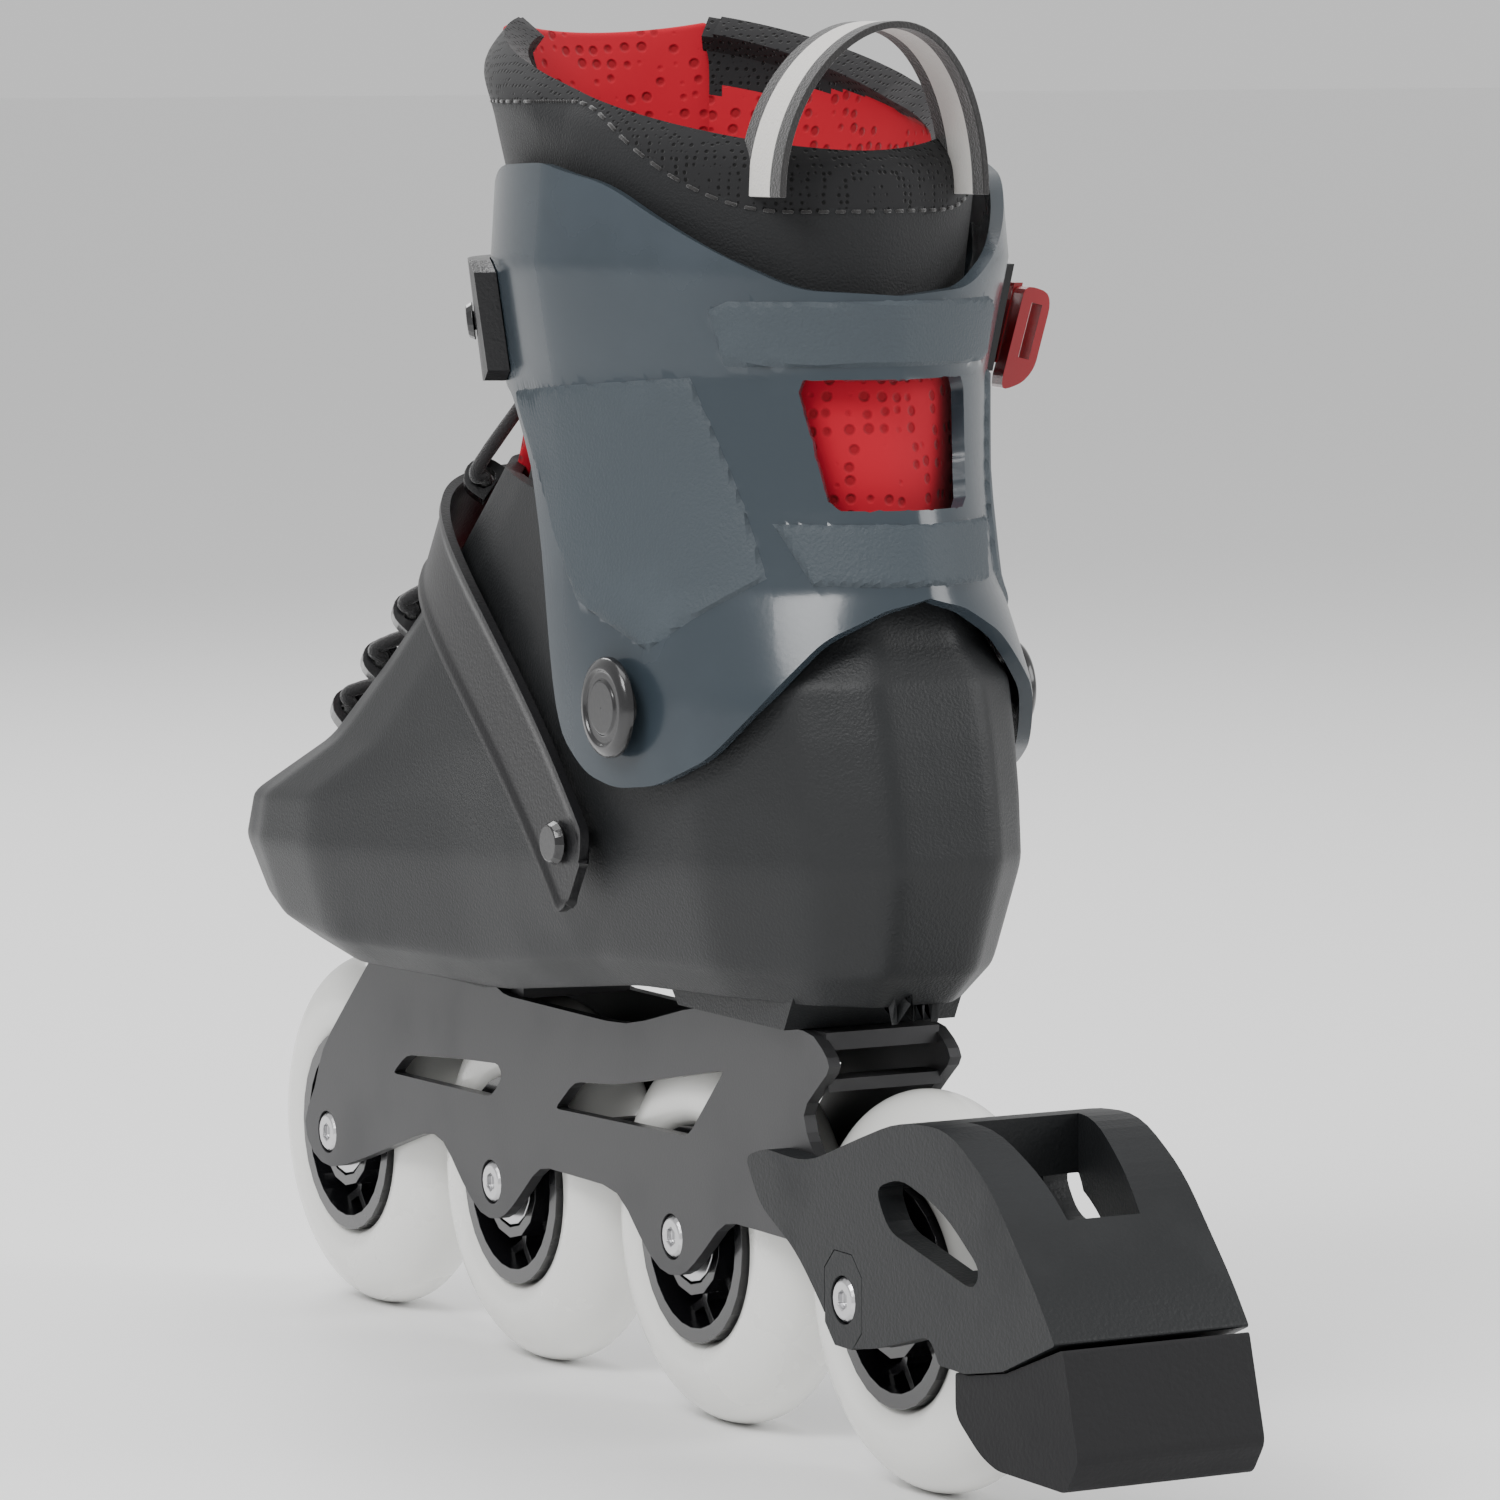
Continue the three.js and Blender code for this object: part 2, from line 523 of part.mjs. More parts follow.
// Point of the cuff's outer face: angle 0 is the back, +90 the medial side, 180 the front.
function cuffPoint(degrees, z, offset = 0) {
  const side = Math.sign(degrees) || 1;
  const angle = radians(Math.abs(degrees));
  const flare = side < 0 ? CUFF.flare * clamp((z - 247) / 25, 0, 1) : 0;
  const half = flat(CUFF_HALF, z) + flare + offset;
  if (angle <= Math.PI / 2) {
    const [x, y] = end(angle, half, flat(CUFF_BACK, z) - ANKLE.y + offset, flat(CUFF_POWER, z));
    return V(side * x, ANKLE.y + y, z);
  }
  return V(side * half * Math.sin(angle), ANKLE.y + (CUFF_FRONT + offset) * Math.cos(angle), z);
}

// Upper and lower edge heights by angle from the back.
const CUFF_TOP = [[0, 265], [28, 266.5], [45, 276], [66, 290], [88, 294.5], [112, 293.5], [128, 287],
  [140, 281]];
const CUFF_BOTTOM = [[0, 199], [14, 196.5], [28, 190], [42, 176], [54, 163], [66, 156], [76, 154.5],
  [84, 157], [91, 165], [95, 178], [98, 200], [102, 219], [107, 232], [113, 241], [140, 247]];
const CUFF_WINDOW = { half: 30, low: 218, high: 246.7 };
const CUFF_EDGE = 140;

const cuffColumns = (() => {
  const medial = [0, 12, CUFF_WINDOW.half, 38, 46, 54, 62, 70, 76, 82, 88, 92, 95.5, 99, 103, 108, 114,
    121, 130, CUFF_EDGE];
  return [...medial.slice(1).reverse().map((a) => -a), ...medial];
})();
const cuffRows = [0, 0.2, 0.5, 1, 2, 2.5, 3];

function cuffHeight(degrees, row) {
  const angle = Math.abs(degrees);
  const [low, high] = [flat(CUFF_BOTTOM, angle), flat(CUFF_TOP, angle)];
  const sill = Math.min(Math.max(CUFF_WINDOW.low, low + (high - low) * 0.15), high);
  const head = Math.max(CUFF_WINDOW.high, sill + (high - sill) * 0.3);
  const marks = [low, sill, head, high];
  const base = Math.min(Math.floor(row), 2);
  return lerp(marks[base], marks[base + 1], row - base);
}

function cuffGeometry() {
  const skin = (offset) => (i, j) => {
    const degrees = cuffColumns[i];
    return cuffPoint(degrees, cuffHeight(degrees, cuffRows[j]), offset);
  };
  const inWindow = (i, j) => {
    const centre = (cuffColumns[i] + cuffColumns[i + 1]) / 2;
    return Math.abs(centre) < CUFF_WINDOW.half && cuffRows[j] >= 1 && cuffRows[j + 1] <= 2;
  };
  const body = sheet({
    across: cuffColumns.length - 1, up: cuffRows.length - 1,
    outer: skin(0), inner: skin(-CUFF.wall), keep: (i, j) => !inWindow(i, j),
  });
  const bosses = SIDES.map((s) => {
    const [a, b] = [s * 47.2, s * 50.6].sort((p, q) => p - q);
    return rodX(ANKLE.capRadius + 1.5, a, b, ANKLE.pivotY, ANKLE.pivotZ, 24);
  });
  const bore = rodX(ANKLE.bolt + RUNNING, -70, 70, ANKLE.pivotY, ANKLE.pivotZ);
  return cut(join(body, ...bosses), bore, anchorScrewHole());
}

// The cuff's own skin made thicker both ways, to fit what sits on it.
function cuffFit() {
  const skin = (offset) => (i, j) => {
    const degrees = cuffColumns[i];
    return cuffPoint(degrees, cuffHeight(degrees, cuffRows[j]), offset);
  };
  return sheet({
    across: cuffColumns.length - 1, up: cuffRows.length - 1, outer: skin(GAP), inner: skin(-2 * CUFF.wall),
  });
}

// Ankle pivot: outer cap, shank through cuff and shell, flange inside the shell.
function pivotGeometry(side) {
  const capFoot = 50.6 + GAP;
  const flange = 37.6;
  const profile = [[0, flange - 1.6], [8.5, flange - 1.6], [8.5, flange], [ANKLE.bolt, flange],
    [ANKLE.bolt, capFoot], [ANKLE.capRadius, capFoot], [ANKLE.capRadius, capFoot + 1.4],
    [ANKLE.capRadius - 2.6, capFoot + 2.8], [0, capFoot + 2.8]];
  const bolt = turnedX(profile, 20);
  return (side > 0 ? bolt : bolt.rotateY(Math.PI)).translate(0, ANKLE.pivotY, ANKLE.pivotZ);
}

// ---------------------------------------------------------------- straps of the cuff
const ANCHOR = { from: 112, to: 156, low: 243.5, high: 272, thick: 5.4, skin: 1.3, screw: 126, screwZ: 258 };
const strapSpan = { from: 146, to: -84 };

function bandPoint(degrees, z, offset) {
  const wrapped = degrees > 180 ? degrees - 360 : degrees;
  return cuffPoint(wrapped, z, offset);
}

function bandGeometry({ from, to, low, high, inner, outer, steps, squeeze = 0 }) {
  const at = (offset) => (i, j) => {
    const t = i / steps;
    const endTaper = squeeze * (Math.max(0, 1 - t * 5) ** 2 + Math.max(0, t * 5 - 4) ** 2);
    return bandPoint(lerp(from, to, t), lerp(low + endTaper, high - endTaper, j), offset);
  };
  return sheet({ across: steps, up: 1, outer: at(outer), inner: at(inner) });
}

function anchorGeometry() {
  const body = bandGeometry({ ...ANCHOR, inner: GAP, outer: ANCHOR.thick, steps: 8, squeeze: 3 });
  const pocket = bandGeometry({
    from: strapSpan.from - 1.5, to: ANCHOR.to + 6, low: CUFF_STRAP.z - CUFF_STRAP.half - GAP,
    high: CUFF_STRAP.z + CUFF_STRAP.half + GAP, inner: ANCHOR.skin,
    outer: ANCHOR.skin + CUFF_STRAP.thick + 2 * GAP, steps: 8,
  });
  return cut(body, pocket, anchorScrewHole());
}

// The strap runs from the anchor's pocket round the front and over the lateral buckle's base.
function cuffStrapGeometry() {
  const { z, half, thick } = CUFF_STRAP;
  const { from, to } = strapSpan;
  const steps = 30;
  const lowLift = ANCHOR.skin + GAP;
  const highLift = BUCKLE.plate + 2 * GAP;
  const at = (offset) => (i, j) => {
    const t = i / steps;
    const lift = lerp(lowLift, highLift, THREE.MathUtils.smoothstep(t, 0.15, 0.5));
    const narrow = 4 * Math.max(0, t * 12 - 11) ** 2 + THREE.MathUtils.smoothstep(t, 0.6, 0.8);
    const centre = z - CUFF.slope * (lift - lowLift);
    return bandPoint(lerp(from, 360 + to, t), centre + (j * 2 - 1) * (half - narrow), lift + offset);
  };
  return sheet({ across: steps, up: 1, outer: at(thick), inner: at(0) });
}

// Frame on the cuff's face: along it, outwards, and up its slope.
function surfaceFrame(degrees, z, offset) {
  const along = bandPoint(degrees + 1, z, offset).sub(bandPoint(degrees - 1, z, offset)).normalize();
  const rise = bandPoint(degrees, z + 9, offset).sub(bandPoint(degrees, z - 9, offset));
  const outward = rise.cross(along).normalize();
  const away = V(0, ANKLE.y, z).sub(bandPoint(degrees, z, 0));
  if (outward.dot(away) > 0) outward.negate();
  const up = along.clone().cross(outward);
  const origin = bandPoint(degrees, z, 0).addScaledVector(outward, offset);
  return { origin, outward, along, up };
}

function screwAt(place, headRadius, headDepth, shank, length) {
  const head = new THREE.CylinderGeometry(headRadius * 0.8, headRadius, headDepth, 16)
    .translate(0, headDepth / 2, 0);
  const stem = new THREE.CylinderGeometry(shank, shank, length + 0.4, 12).translate(0, -length / 2 + 0.2, 0);
  const turn = new THREE.Quaternion().setFromUnitVectors(V(0, 1, 0), place.outward);
  return join(head, stem).applyQuaternion(turn).translate(...place.origin.toArray());
}

function holeAt(place, radius, outwards, inwards) {
  const turn = new THREE.Quaternion().setFromUnitVectors(V(0, 1, 0), place.outward);
  return new THREE.CylinderGeometry(radius, radius, outwards + inwards, 12)
    .translate(0, (outwards - inwards) / 2, 0).applyQuaternion(turn).translate(...place.origin.toArray());
}

const anchorScrewPlace = () => surfaceFrame(ANCHOR.screw, ANCHOR.screwZ, ANCHOR.thick + GAP);
const anchorScrewHole = () => holeAt(anchorScrewPlace(), 2.2 + RUNNING, 6, 14);

// ---------------------------------------------------------------- ratchet buckles
// Pieces of a buckle in its own frame: t along the strap, n outwards, w across.
function placed(geometry, frame) {
  const { along: t, outward: n, up: w, origin } = frame;
  const basis = new THREE.Matrix4().makeBasis(t, n, w).setPosition(origin);
  return geometry.applyMatrix4(basis);
}

// Two ears on the base plate, drilled for the lever pin.
function earGeometries(floor) {
  const { half, ear, pinHeight } = BUCKLE;
  const top = pinHeight + 3.6;
  const outline = roundedShape([[-8, floor, 0], [8, floor, 0], [5, top, 3], [-5, top, 3]]);
  return SIDES.map((s) => {
    const plate = new THREE.ExtrudeGeometry(outline, { depth: ear, bevelEnabled: false, curveSegments: 3 });
    return plate.translate(0, 0, s > 0 ? half - ear : -half);
  });
}

function pinRod(radius, reach, segments = 14) {
  return new THREE.CylinderGeometry(radius, radius, reach * 2, segments).rotateX(Math.PI / 2)
    .translate(0, BUCKLE.pinHeight, 0);
}

const LEVER = { under: 6.5, over: 8.7, side: 0.7, loopDepth: 8 };

// Finger loop at the lever's end, its slot open along the strap.
function fingerLoop() {
  const loop = roundedShape([[6.4, 9, 2], [12, 9, 2.5], [13.4, 6, 2], [13.4, -9, 2], [11.5, -13, 2],
    [7, -16, 2], [6.4, -13, 1]]);
  loop.holes.push(new THREE.Path([[8.9, -7.5], [11.5, -7.5], [11.5, 5.5], [8.9, 5.5]]
    .map(([a, b]) => new THREE.Vector2(a, b))));
  const ring = new THREE.ExtrudeGeometry(loop, {
    depth: LEVER.loopDepth, bevelEnabled: false, curveSegments: 3,
  });
  return ring.applyMatrix4(new THREE.Matrix4().makeBasis(V(0, 1, 0), V(0, 0, 1), V(1, 0, 0)))
    .translate(-1, 0, 0);
}

// Lever: hub on the pin, an arm that follows the strap, and the finger loop at its end.
function leverGeometry({ frameAt, bandOf, at, end, hubSides }) {
  const { half, ear, pinRadius, hub } = BUCKLE;
  const width = half - ear - GAP;
  const arm = bandOf({
    from: at - 0.6, to: end, width: width - LEVER.side, inner: LEVER.under, outer: LEVER.over, steps: 7,
  });
  return cut(join(placed(pinRod(hub, width, hubSides), frameAt(at)), arm, placed(fingerLoop(), frameAt(end))),
    placed(pinRod(pinRadius + RUNNING, half + 2), frameAt(at)));
}

// Base plate with two drilled ears.
function baseGeometry({ frameAt, bandOf, at, from, to, low }) {
  const { half, plate, pinRadius } = BUCKLE;
  const band = bandOf({ from, to, width: half, inner: low, outer: low + plate, steps: 14 });
  const ears = earGeometries(low + plate * 0.5).map((ear) => placed(ear, frameAt(at)));
  return cut(join(band, ...ears), placed(pinRod(pinRadius + RUNNING, half + 3), frameAt(at)));
}

const CUFF_BUCKLE = {
  from: -112, to: -66, at: -98, end: -80, low: -0.4, hubSides: 14,
  frameAt: (degrees) => surfaceFrame(degrees, CUFF_STRAP.z, 0),
  bandOf: ({ width, ...rest }) => {
    const centre = CUFF_STRAP.z - CUFF.slope * Math.max(rest.inner, 0);
    return bandGeometry({ ...rest, low: centre - width, high: centre + width });
  },
};

// ---------------------------------------------------------------- instep strap
const strapAxis = V(0, -Math.cos(radians(INSTEP.pitch)), Math.sin(radians(INSTEP.pitch)));
const strapNormal = V(1, 0, 0).cross(strapAxis);

// Arch over the instep: angle 0 is the medial screw, 180 the lateral one; it bows up and back.
function archPoint(degrees, offset, across) {
  const { y, z, reach, bow } = INSTEP;
  const span = INSTEP.span + (degrees < 90 ? INSTEP.medial : 0);
  const place = V(0, y, z);
  if (degrees < 0 || degrees > 180) {
    const below = degrees < 0 ? degrees : 180 - degrees;
    const side = degrees < 0 ? 1 : -1;
    return place.add(V(side * (span + offset), 0, 0)).addScaledVector(strapAxis, below)
      .addScaledVector(strapNormal, across - 4 * bow * (below / reach));
  }
  const angle = radians(degrees);
  const power = 2 / 3.4;
  const cosine = Math.cos(angle);
  const [s, c] = [Math.max(Math.sin(angle), 0) ** power, Math.sign(cosine) * Math.abs(cosine) ** power];
  return place.add(V((span + offset) * c, 0, 0)).addScaledVector(strapAxis, (reach + offset) * s)
    .addScaledVector(strapNormal, across - 4 * bow * s * (1 - s));
}

function archBand({ from, to, width, inner, outer, steps }) {
  const value = (v, t) => (typeof v === 'function' ? v(t) : v);
  const at = (offset) => (i, j) => {
    const t = lerp(from, to, i / steps);
    return archPoint(t, value(offset, t), (j * 2 - 1) * value(width, t));
  };
  return sheet({ across: steps, up: 1, outer: at(outer), inner: at(inner) });
}

const INSTEP_STRAP = { from: -11, to: 160 };
const instepLift = (degrees) => (BUCKLE.plate + GAP) * THREE.MathUtils.smoothstep(degrees, 50, 125);

function instepFrame(degrees) {
  const lift = BUCKLE.pinHeight;
  const along = archPoint(degrees + 2, lift, 0).sub(archPoint(degrees - 2, lift, 0)).normalize();
  const outward = strapNormal.clone().cross(along).normalize();
  const origin = archPoint(degrees, lift, 0);
  if (outward.dot(origin.clone().sub(V(0, INSTEP.y, INSTEP.z))) < 0) outward.negate();
  return { origin: origin.addScaledVector(outward, -lift), along, outward, up: along.clone().cross(outward) };
}

const INSTEP_BUCKLE = {
  from: 130, to: 191, at: 150, end: 166, low: 0, hubSides: 12, frameAt: instepFrame, bandOf: archBand,
};

const instepScrewHole = () => rodX(2.2 + RUNNING, -80, 80, INSTEP.y, INSTEP.z, 12);

// Half width: rounded below the screw, narrowed to the toothed tongue on the lateral side.
function instepHalf(degrees) {
  const { half, tongueHalf } = INSTEP;
  const tongue = THREE.MathUtils.smoothstep(degrees, 100, 122);
  const foot = 5 * Math.max(0, (4 + INSTEP_STRAP.from - degrees) / 4) ** 2;
  const tip = 4 * Math.max(0, (degrees - INSTEP_STRAP.to + 5) / 5) ** 2;
  return lerp(half, tongueHalf, tongue) - foot - tip;
}

function instepStrapGeometry() {
  const band = archBand({
    from: INSTEP_STRAP.from, to: INSTEP_STRAP.to, width: instepHalf, inner: instepLift,
    outer: (degrees) => instepLift(degrees) + INSTEP.thick, steps: 44,
  });
  return cut(band, instepScrewHole());
}

function instepScrewGeometry(side) {
  const onto = side > 0 ? INSTEP.thick : BUCKLE.plate;
  const seat = INSTEP.span + onto + GAP + (side > 0 ? INSTEP.medial : 0);
  const place = { origin: V(side * seat, INSTEP.y, INSTEP.z), outward: V(side, 0, 0) };
  return screwAt(place, 5.2, 2, 2.2, seat - 40.5);
}

// ---------------------------------------------------------------- liner and tongue
const COLLAR = [
  { heel: 122.5, toe: -14, heelHalf: 43, toeHalf: 40, ball: 40, heelZ: 226, toeZ: 248 },
  { heel: 118.5, toe: -12, heelHalf: 45, toeHalf: 43, ball: 45, heelZ: 258, toeZ: 278 },
  { heel: 117.5, toe: -18, heelHalf: 49, toeHalf: 49, ball: 48, heelZ: 282, toeZ: 309 },
  { heel: 116.5, toe: -22, heelHalf: 49, toeHalf: 51, ball: 48, heelZ: 292, toeZ: 322 },
  { heel: 112, toe: -17, heelHalf: 45, toeHalf: 46, ball: 46, heelZ: 297, toeZ: 330 },
].map((level) => ({ heelPower: 1.8, toePower: 2.2, waist: 0, dip: 0, skew: 0, ...level }));

const linerInset = SHELL.wall + LINER.clearance;
const LINER_FLOOR = { rise: 8, padding: 3 };

function linerStack(extra, floor, collarRise = 0) {
  const lower = LEVELS.map((level, i) => {
    if (i < 2) return levelRing(above(level, floor - 2 * i), linerInset + extra, 0);
    return levelRing(level, linerInset + extra, i > 2 ? -0.6 * (linerInset + extra) : 0);
  });
  return [...lower, ...COLLAR.map((level) => levelRing(above(level, collarRise), extra, 0))];
}

function linerGeometry() {
  const outer = loft(linerStack(0, LINER_FLOOR.rise));
  const rings = linerStack(LINER.padding, LINER_FLOOR.rise + LINER_FLOOR.padding, 1);
  rings.push(levelRing(above(COLLAR.at(-1), 30), LINER.padding, 0));
  const foreRoom = tonguePath.map(([y, z], i) => {
    const normal = tongueNormal(i);
    return [y - normal[0] * TONGUE_ROOM, z - normal[1] * TONGUE_ROOM];
  });
  const room = plateX(shapeOf([[-125, 118], ...foreRoom, [-30, 360], [-125, 360]]),
    -TONGUE.half - 1.5, TONGUE.half + 1.5);
  const flanges = SIDES.map((s) => {
    const [a, b] = [s * 35.5, s * 60].sort((p, q) => p - q);
    return rodX(10, a, b, ANKLE.pivotY, ANKLE.pivotZ, 16);
  });
  return cut(outer, loft(rings), room, ...flanges);
}

// Side view of the tongue's upper face, toe to top.
const tonguePath = [[-106, 146.5], [-84, 164.5], [-48, 191], [-17.8, 219.5], [-7.5, 250], [-11, 285],
  [-21, 324]];
const TONGUE_ROOM = 15.5;

function tongueNormal(i) {
  const [a, b] = [tonguePath[Math.max(i - 1, 0)], tonguePath[Math.min(i + 1, tonguePath.length - 1)]];
  const length = Math.hypot(b[0] - a[0], b[1] - a[1]);
  return [-(b[1] - a[1]) / length, (b[0] - a[0]) / length];
}

function tongueGeometry() {
  const across = 8;
  const at = (depth) => (i, j) => {
    const x = lerp(-TONGUE.half, TONGUE.half, i / across);
    const drop = depth + TONGUE.arch - Math.sqrt(TONGUE.arch ** 2 - x * x);
    const [y, z] = tonguePath[j];
    const [ny, nz] = tongueNormal(j);
    return V(x, y - ny * drop, z - nz * drop);
  };
  return sheet({ across, up: tonguePath.length - 1, outer: at(0), inner: at(TONGUE.thick) });
}

function footbedGeometry() {
  const inset = linerInset + LINER.padding + 1;
  const floor = LINER_FLOOR.rise + LINER_FLOOR.padding + GAP;
  const rings = [floor, floor + 3].map((rise) => levelRing(above(LEVELS[0], rise), inset, 0));
  return loft(rings);
}

function pullLoopGeometry() {
  const steps = 18;
  const foot = 287;
  const at = (offset) => (i, j) => {
    const angle = Math.PI * (i / steps);
    const height = foot + (LOOP.rise + offset) * Math.sin(angle);
    const y = 120.5 + (j - 1) * LOOP.width + 6 * Math.sin(angle) ** 2;
    return V((LOOP.half + offset) * Math.cos(angle), y, height);
  };
  const band = sheet({ across: steps, up: 1, outer: at(LOOP.thick), inner: at(0) });
  const collar = COLLAR.map((level) => levelRing(above(level, GAP), -GAP, 0));
  return cut(band, loft(collar));
}

// ---------------------------------------------------------------- lace and hooks
const HOOK = { outer: 4.8, inner: 2.7, half: 2.5, lift: 3.2 };
const LACE_STATIONS = [{ y: -104, x: 25 }, { y: -84, x: 25.5 }, { y: -64, x: 26.5 }, { y: -20, x: 27.5 }];
const LACE_RISE = 2 * LACE.radius + 0.5; // one thread over another

// Point on a body's upper face over a place in the plan, or null beside it.
function over(mesh, x, y) {
  const [hit] = new THREE.Raycaster(V(x, y, 400), V(0, 0, -1)).intersectObject(mesh);
  return hit ? hit.point : null;
}

// Seat on the upper face: its normal, the slope up the instep and the direction across.
function seatOn(mesh, x, y, reach) {
  const centre = over(mesh, x, y);
  const step = 3;
  const forward = over(mesh, x, y + step).sub(over(mesh, x, y - step));
  const sideways = over(mesh, x + Math.sign(x) * step, y).sub(centre);
  const normal = sideways.clone().cross(forward).normalize();
  if (normal.z < 0) normal.negate();
  const slope = V(0, 1, 0).addScaledVector(normal, -normal.y).normalize();
  const across = slope.clone().cross(normal);
  const corners = [-1, 0, 1].flatMap((i) => [-1, 0, 1].map((j) => centre.clone()
    .addScaledVector(across, i * reach).addScaledVector(slope, j * HOOK.half)));
  const rises = corners.map((p) => over(mesh, p.x, p.y)).filter(Boolean)
    .map((p) => p.sub(centre).dot(normal));
  return { origin: centre.addScaledVector(normal, Math.max(0, ...rises) + GAP), normal, slope, across };
}

function hookSeats(shell) {
  return LACE_STATIONS.map(({ x, y }) => new Map(SIDES.map((s) => [s, seatOn(shell, s * x, y, HOOK.outer)])));
}

// Hook: an arch across the slope with a round eye that the lace runs through.
function hookGeometry({ origin, normal, slope, across }) {
  const { outer, inner, half, lift } = HOOK;
  const arch = new THREE.Shape();
  arch.moveTo(-outer, 0);
  arch.lineTo(outer, 0);
  arch.lineTo(outer, lift);
  arch.absarc(0, lift, outer, 0, Math.PI, false);
  const eye = new THREE.Path().absarc(0, lift, inner, 0, Math.PI * 2, true);
  arch.holes.push(eye);
  const plate = new THREE.ExtrudeGeometry(arch, { depth: 2 * half, bevelEnabled: false, curveSegments: 5 })
    .translate(0, 0, -half);
  const basis = new THREE.Matrix4().makeBasis(across, normal, slope.clone().negate()).setPosition(origin);
  return outwards(plate.applyMatrix4(basis));
}

// Way of one lace end through the hooks, from the top pair down, changing sides at each pair.
function threadPoints(seats, hand, level, shell, tongue) {
  const points = [];
  const top = seats.length - 1;
  const edgeX = SHELL.throat + 0.6;
  for (let k = top; k >= 0; k--) {
    const side = (top - k) % 2 === 0 ? hand : -hand;
    const { origin, normal, slope } = seats[k].get(side);
    const at = (ahead, inwards, up = 0) => origin.clone().addScaledVector(normal, HOOK.lift + up)
      .addScaledVector(slope, ahead).add(V(-side * inwards, 0, 0));
    points.push(at(5.4, 1.2, 2.9), at(2.6, 0), at(-2.6, 0), at(-5.4, 1.2, 2.9));
    if (k === 0) break;
    const [y0, y1] = [points.at(-1).y, seats[k - 1].get(-side).origin.y + 5];
    const crossing = (share) => {
      const y = lerp(y0, y1, share);
      const x = side * lerp(1, -1, share) * edgeX;
      const edge = over(shell, Math.sign(x || 1) * edgeX, y);
      const sole = over(tongue, 0, y);
      const rise = LACE.radius + 0.7;
      if (share === 0.5) return V(0, y, Math.max(sole.z, edge.z - 3) + rise * 1.4 + level * LACE_RISE);
      return V(x, y, edge.z + rise * (k === top ? 1.3 + share * 0.585 : 1.9));
    };
    points.push(crossing(0.2), crossing(0.5), crossing(0.8));
  }
  return points;
}

// One lace: a tail, down one way, across the toe end, and back up the other way to its second tail.
function laceGeometry(seats, shell, tongue) {
  const first = threadPoints(seats, 1, 0, shell, tongue);
  const second = threadPoints(seats, -1, 1, shell, tongue).reverse();
  const lead = first.at(-1).clone().add(second[0]).multiplyScalar(0.5);
  const bridge = V(0, lead.y - 2, lead.z + 2);
  const tail = (side) => V(side * LACE_TAIL.x, LACE_TAIL.y, LACE_TAIL.z);
  const route = new THREE.CatmullRomCurve3([tail(1), ...first, bridge, ...second, tail(-1)], false,
    'centripetal');
  const section = new THREE.Shape().absarc(0, 0, LACE.radius, 0, Math.PI * 2, false);
  return outwards(new THREE.ExtrudeGeometry(section, { extrudePath: route, steps: 130, bevelEnabled: false,
    curveSegments: 3 }));
}
const LACE_TAIL = { x: 18, y: -17, z: 241 };

// ---------------------------------------------------------------- materials and assembly
const finish = (color, roughness, metalness = 0) => new THREE.MeshStandardMaterial({
  color, roughness, metalness,
});
const FINISH = {
  urethane: finish(0xe9e9e6, 0.35), hub: finish(0x17181a, 0.35), steel: finish(0xb9bec2, 0.3, 1),
  anodised: finish(0x3a3b3d, 0.42, 0.6), brake: finish(0x25282b, 0.6), rubber: finish(0x222426, 0.8),
  shell: finish(0x3a3c3e, 0.6), cuff: finish(0x48545d, 0.4), trim: finish(0x1b1c1e, 0.3),
  strap: finish(0x424446, 0.5), lever: finish(0xa01c22, 0.3), lining: finish(0xcf1a30, 0.9),
  leather: finish(0x2e3032, 0.7), webbing: finish(0x2a2626, 0.9), lace: finish(0x1c1c1e, 0.9),
};

const skate = new THREE.Group();

function add(name, geometry, material, place = V(0, 0, 0)) {
  const mesh = new THREE.Mesh(geometry, material);
  mesh.name = name;
  mesh.position.copy(place);
  skate.add(mesh);
  return mesh;
}

function addWheels() {
  const tyre = tyreGeometry();
  const hub = hubGeometry();
  const bearing = bearingGeometry();
  const spacer = spacerGeometry();
  const bearingX = WHEEL.half - BEARING.width / 2;
  for (let i = 0; i < WHEEL.count; i++) {
    const centre = V(0, axleY(i), WHEEL.radius);
    const last = i === WHEEL.count - 1;
    const seat = (last ? BRAKE.half : FRAME.half) - AXLE.headDepth + GAP;
    const far = (last ? -BRAKE.half : -FRAME.half) + 0.1;
    add(`tyre_${i + 1}`, tyre, FINISH.urethane, centre);
    add(`hub_${i + 1}`, hub, FINISH.hub, centre);
    add(`bearing_medial_${i + 1}`, bearing, FINISH.steel, centre.clone().setX(bearingX));
    add(`bearing_lateral_${i + 1}`, bearing, FINISH.steel, centre.clone().setX(-bearingX));
    add(`spacer_${i + 1}`, spacer, FINISH.steel, centre);
    add(`axle_${i + 1}`, axleGeometry(seat, far), FINISH.steel, centre);
  }
}

function addFrameAndBrake() {
  add('frame', frameGeometry(), FINISH.anodised);
  add('brake_arm', brakeArmGeometry(), FINISH.brake);
  add('brake_pad', brakePadGeometry(), FINISH.rubber);
  add('brake_insert_medial', insertGeometry(1), FINISH.brake);
  add('brake_insert_lateral', insertGeometry(-1), FINISH.brake);
}

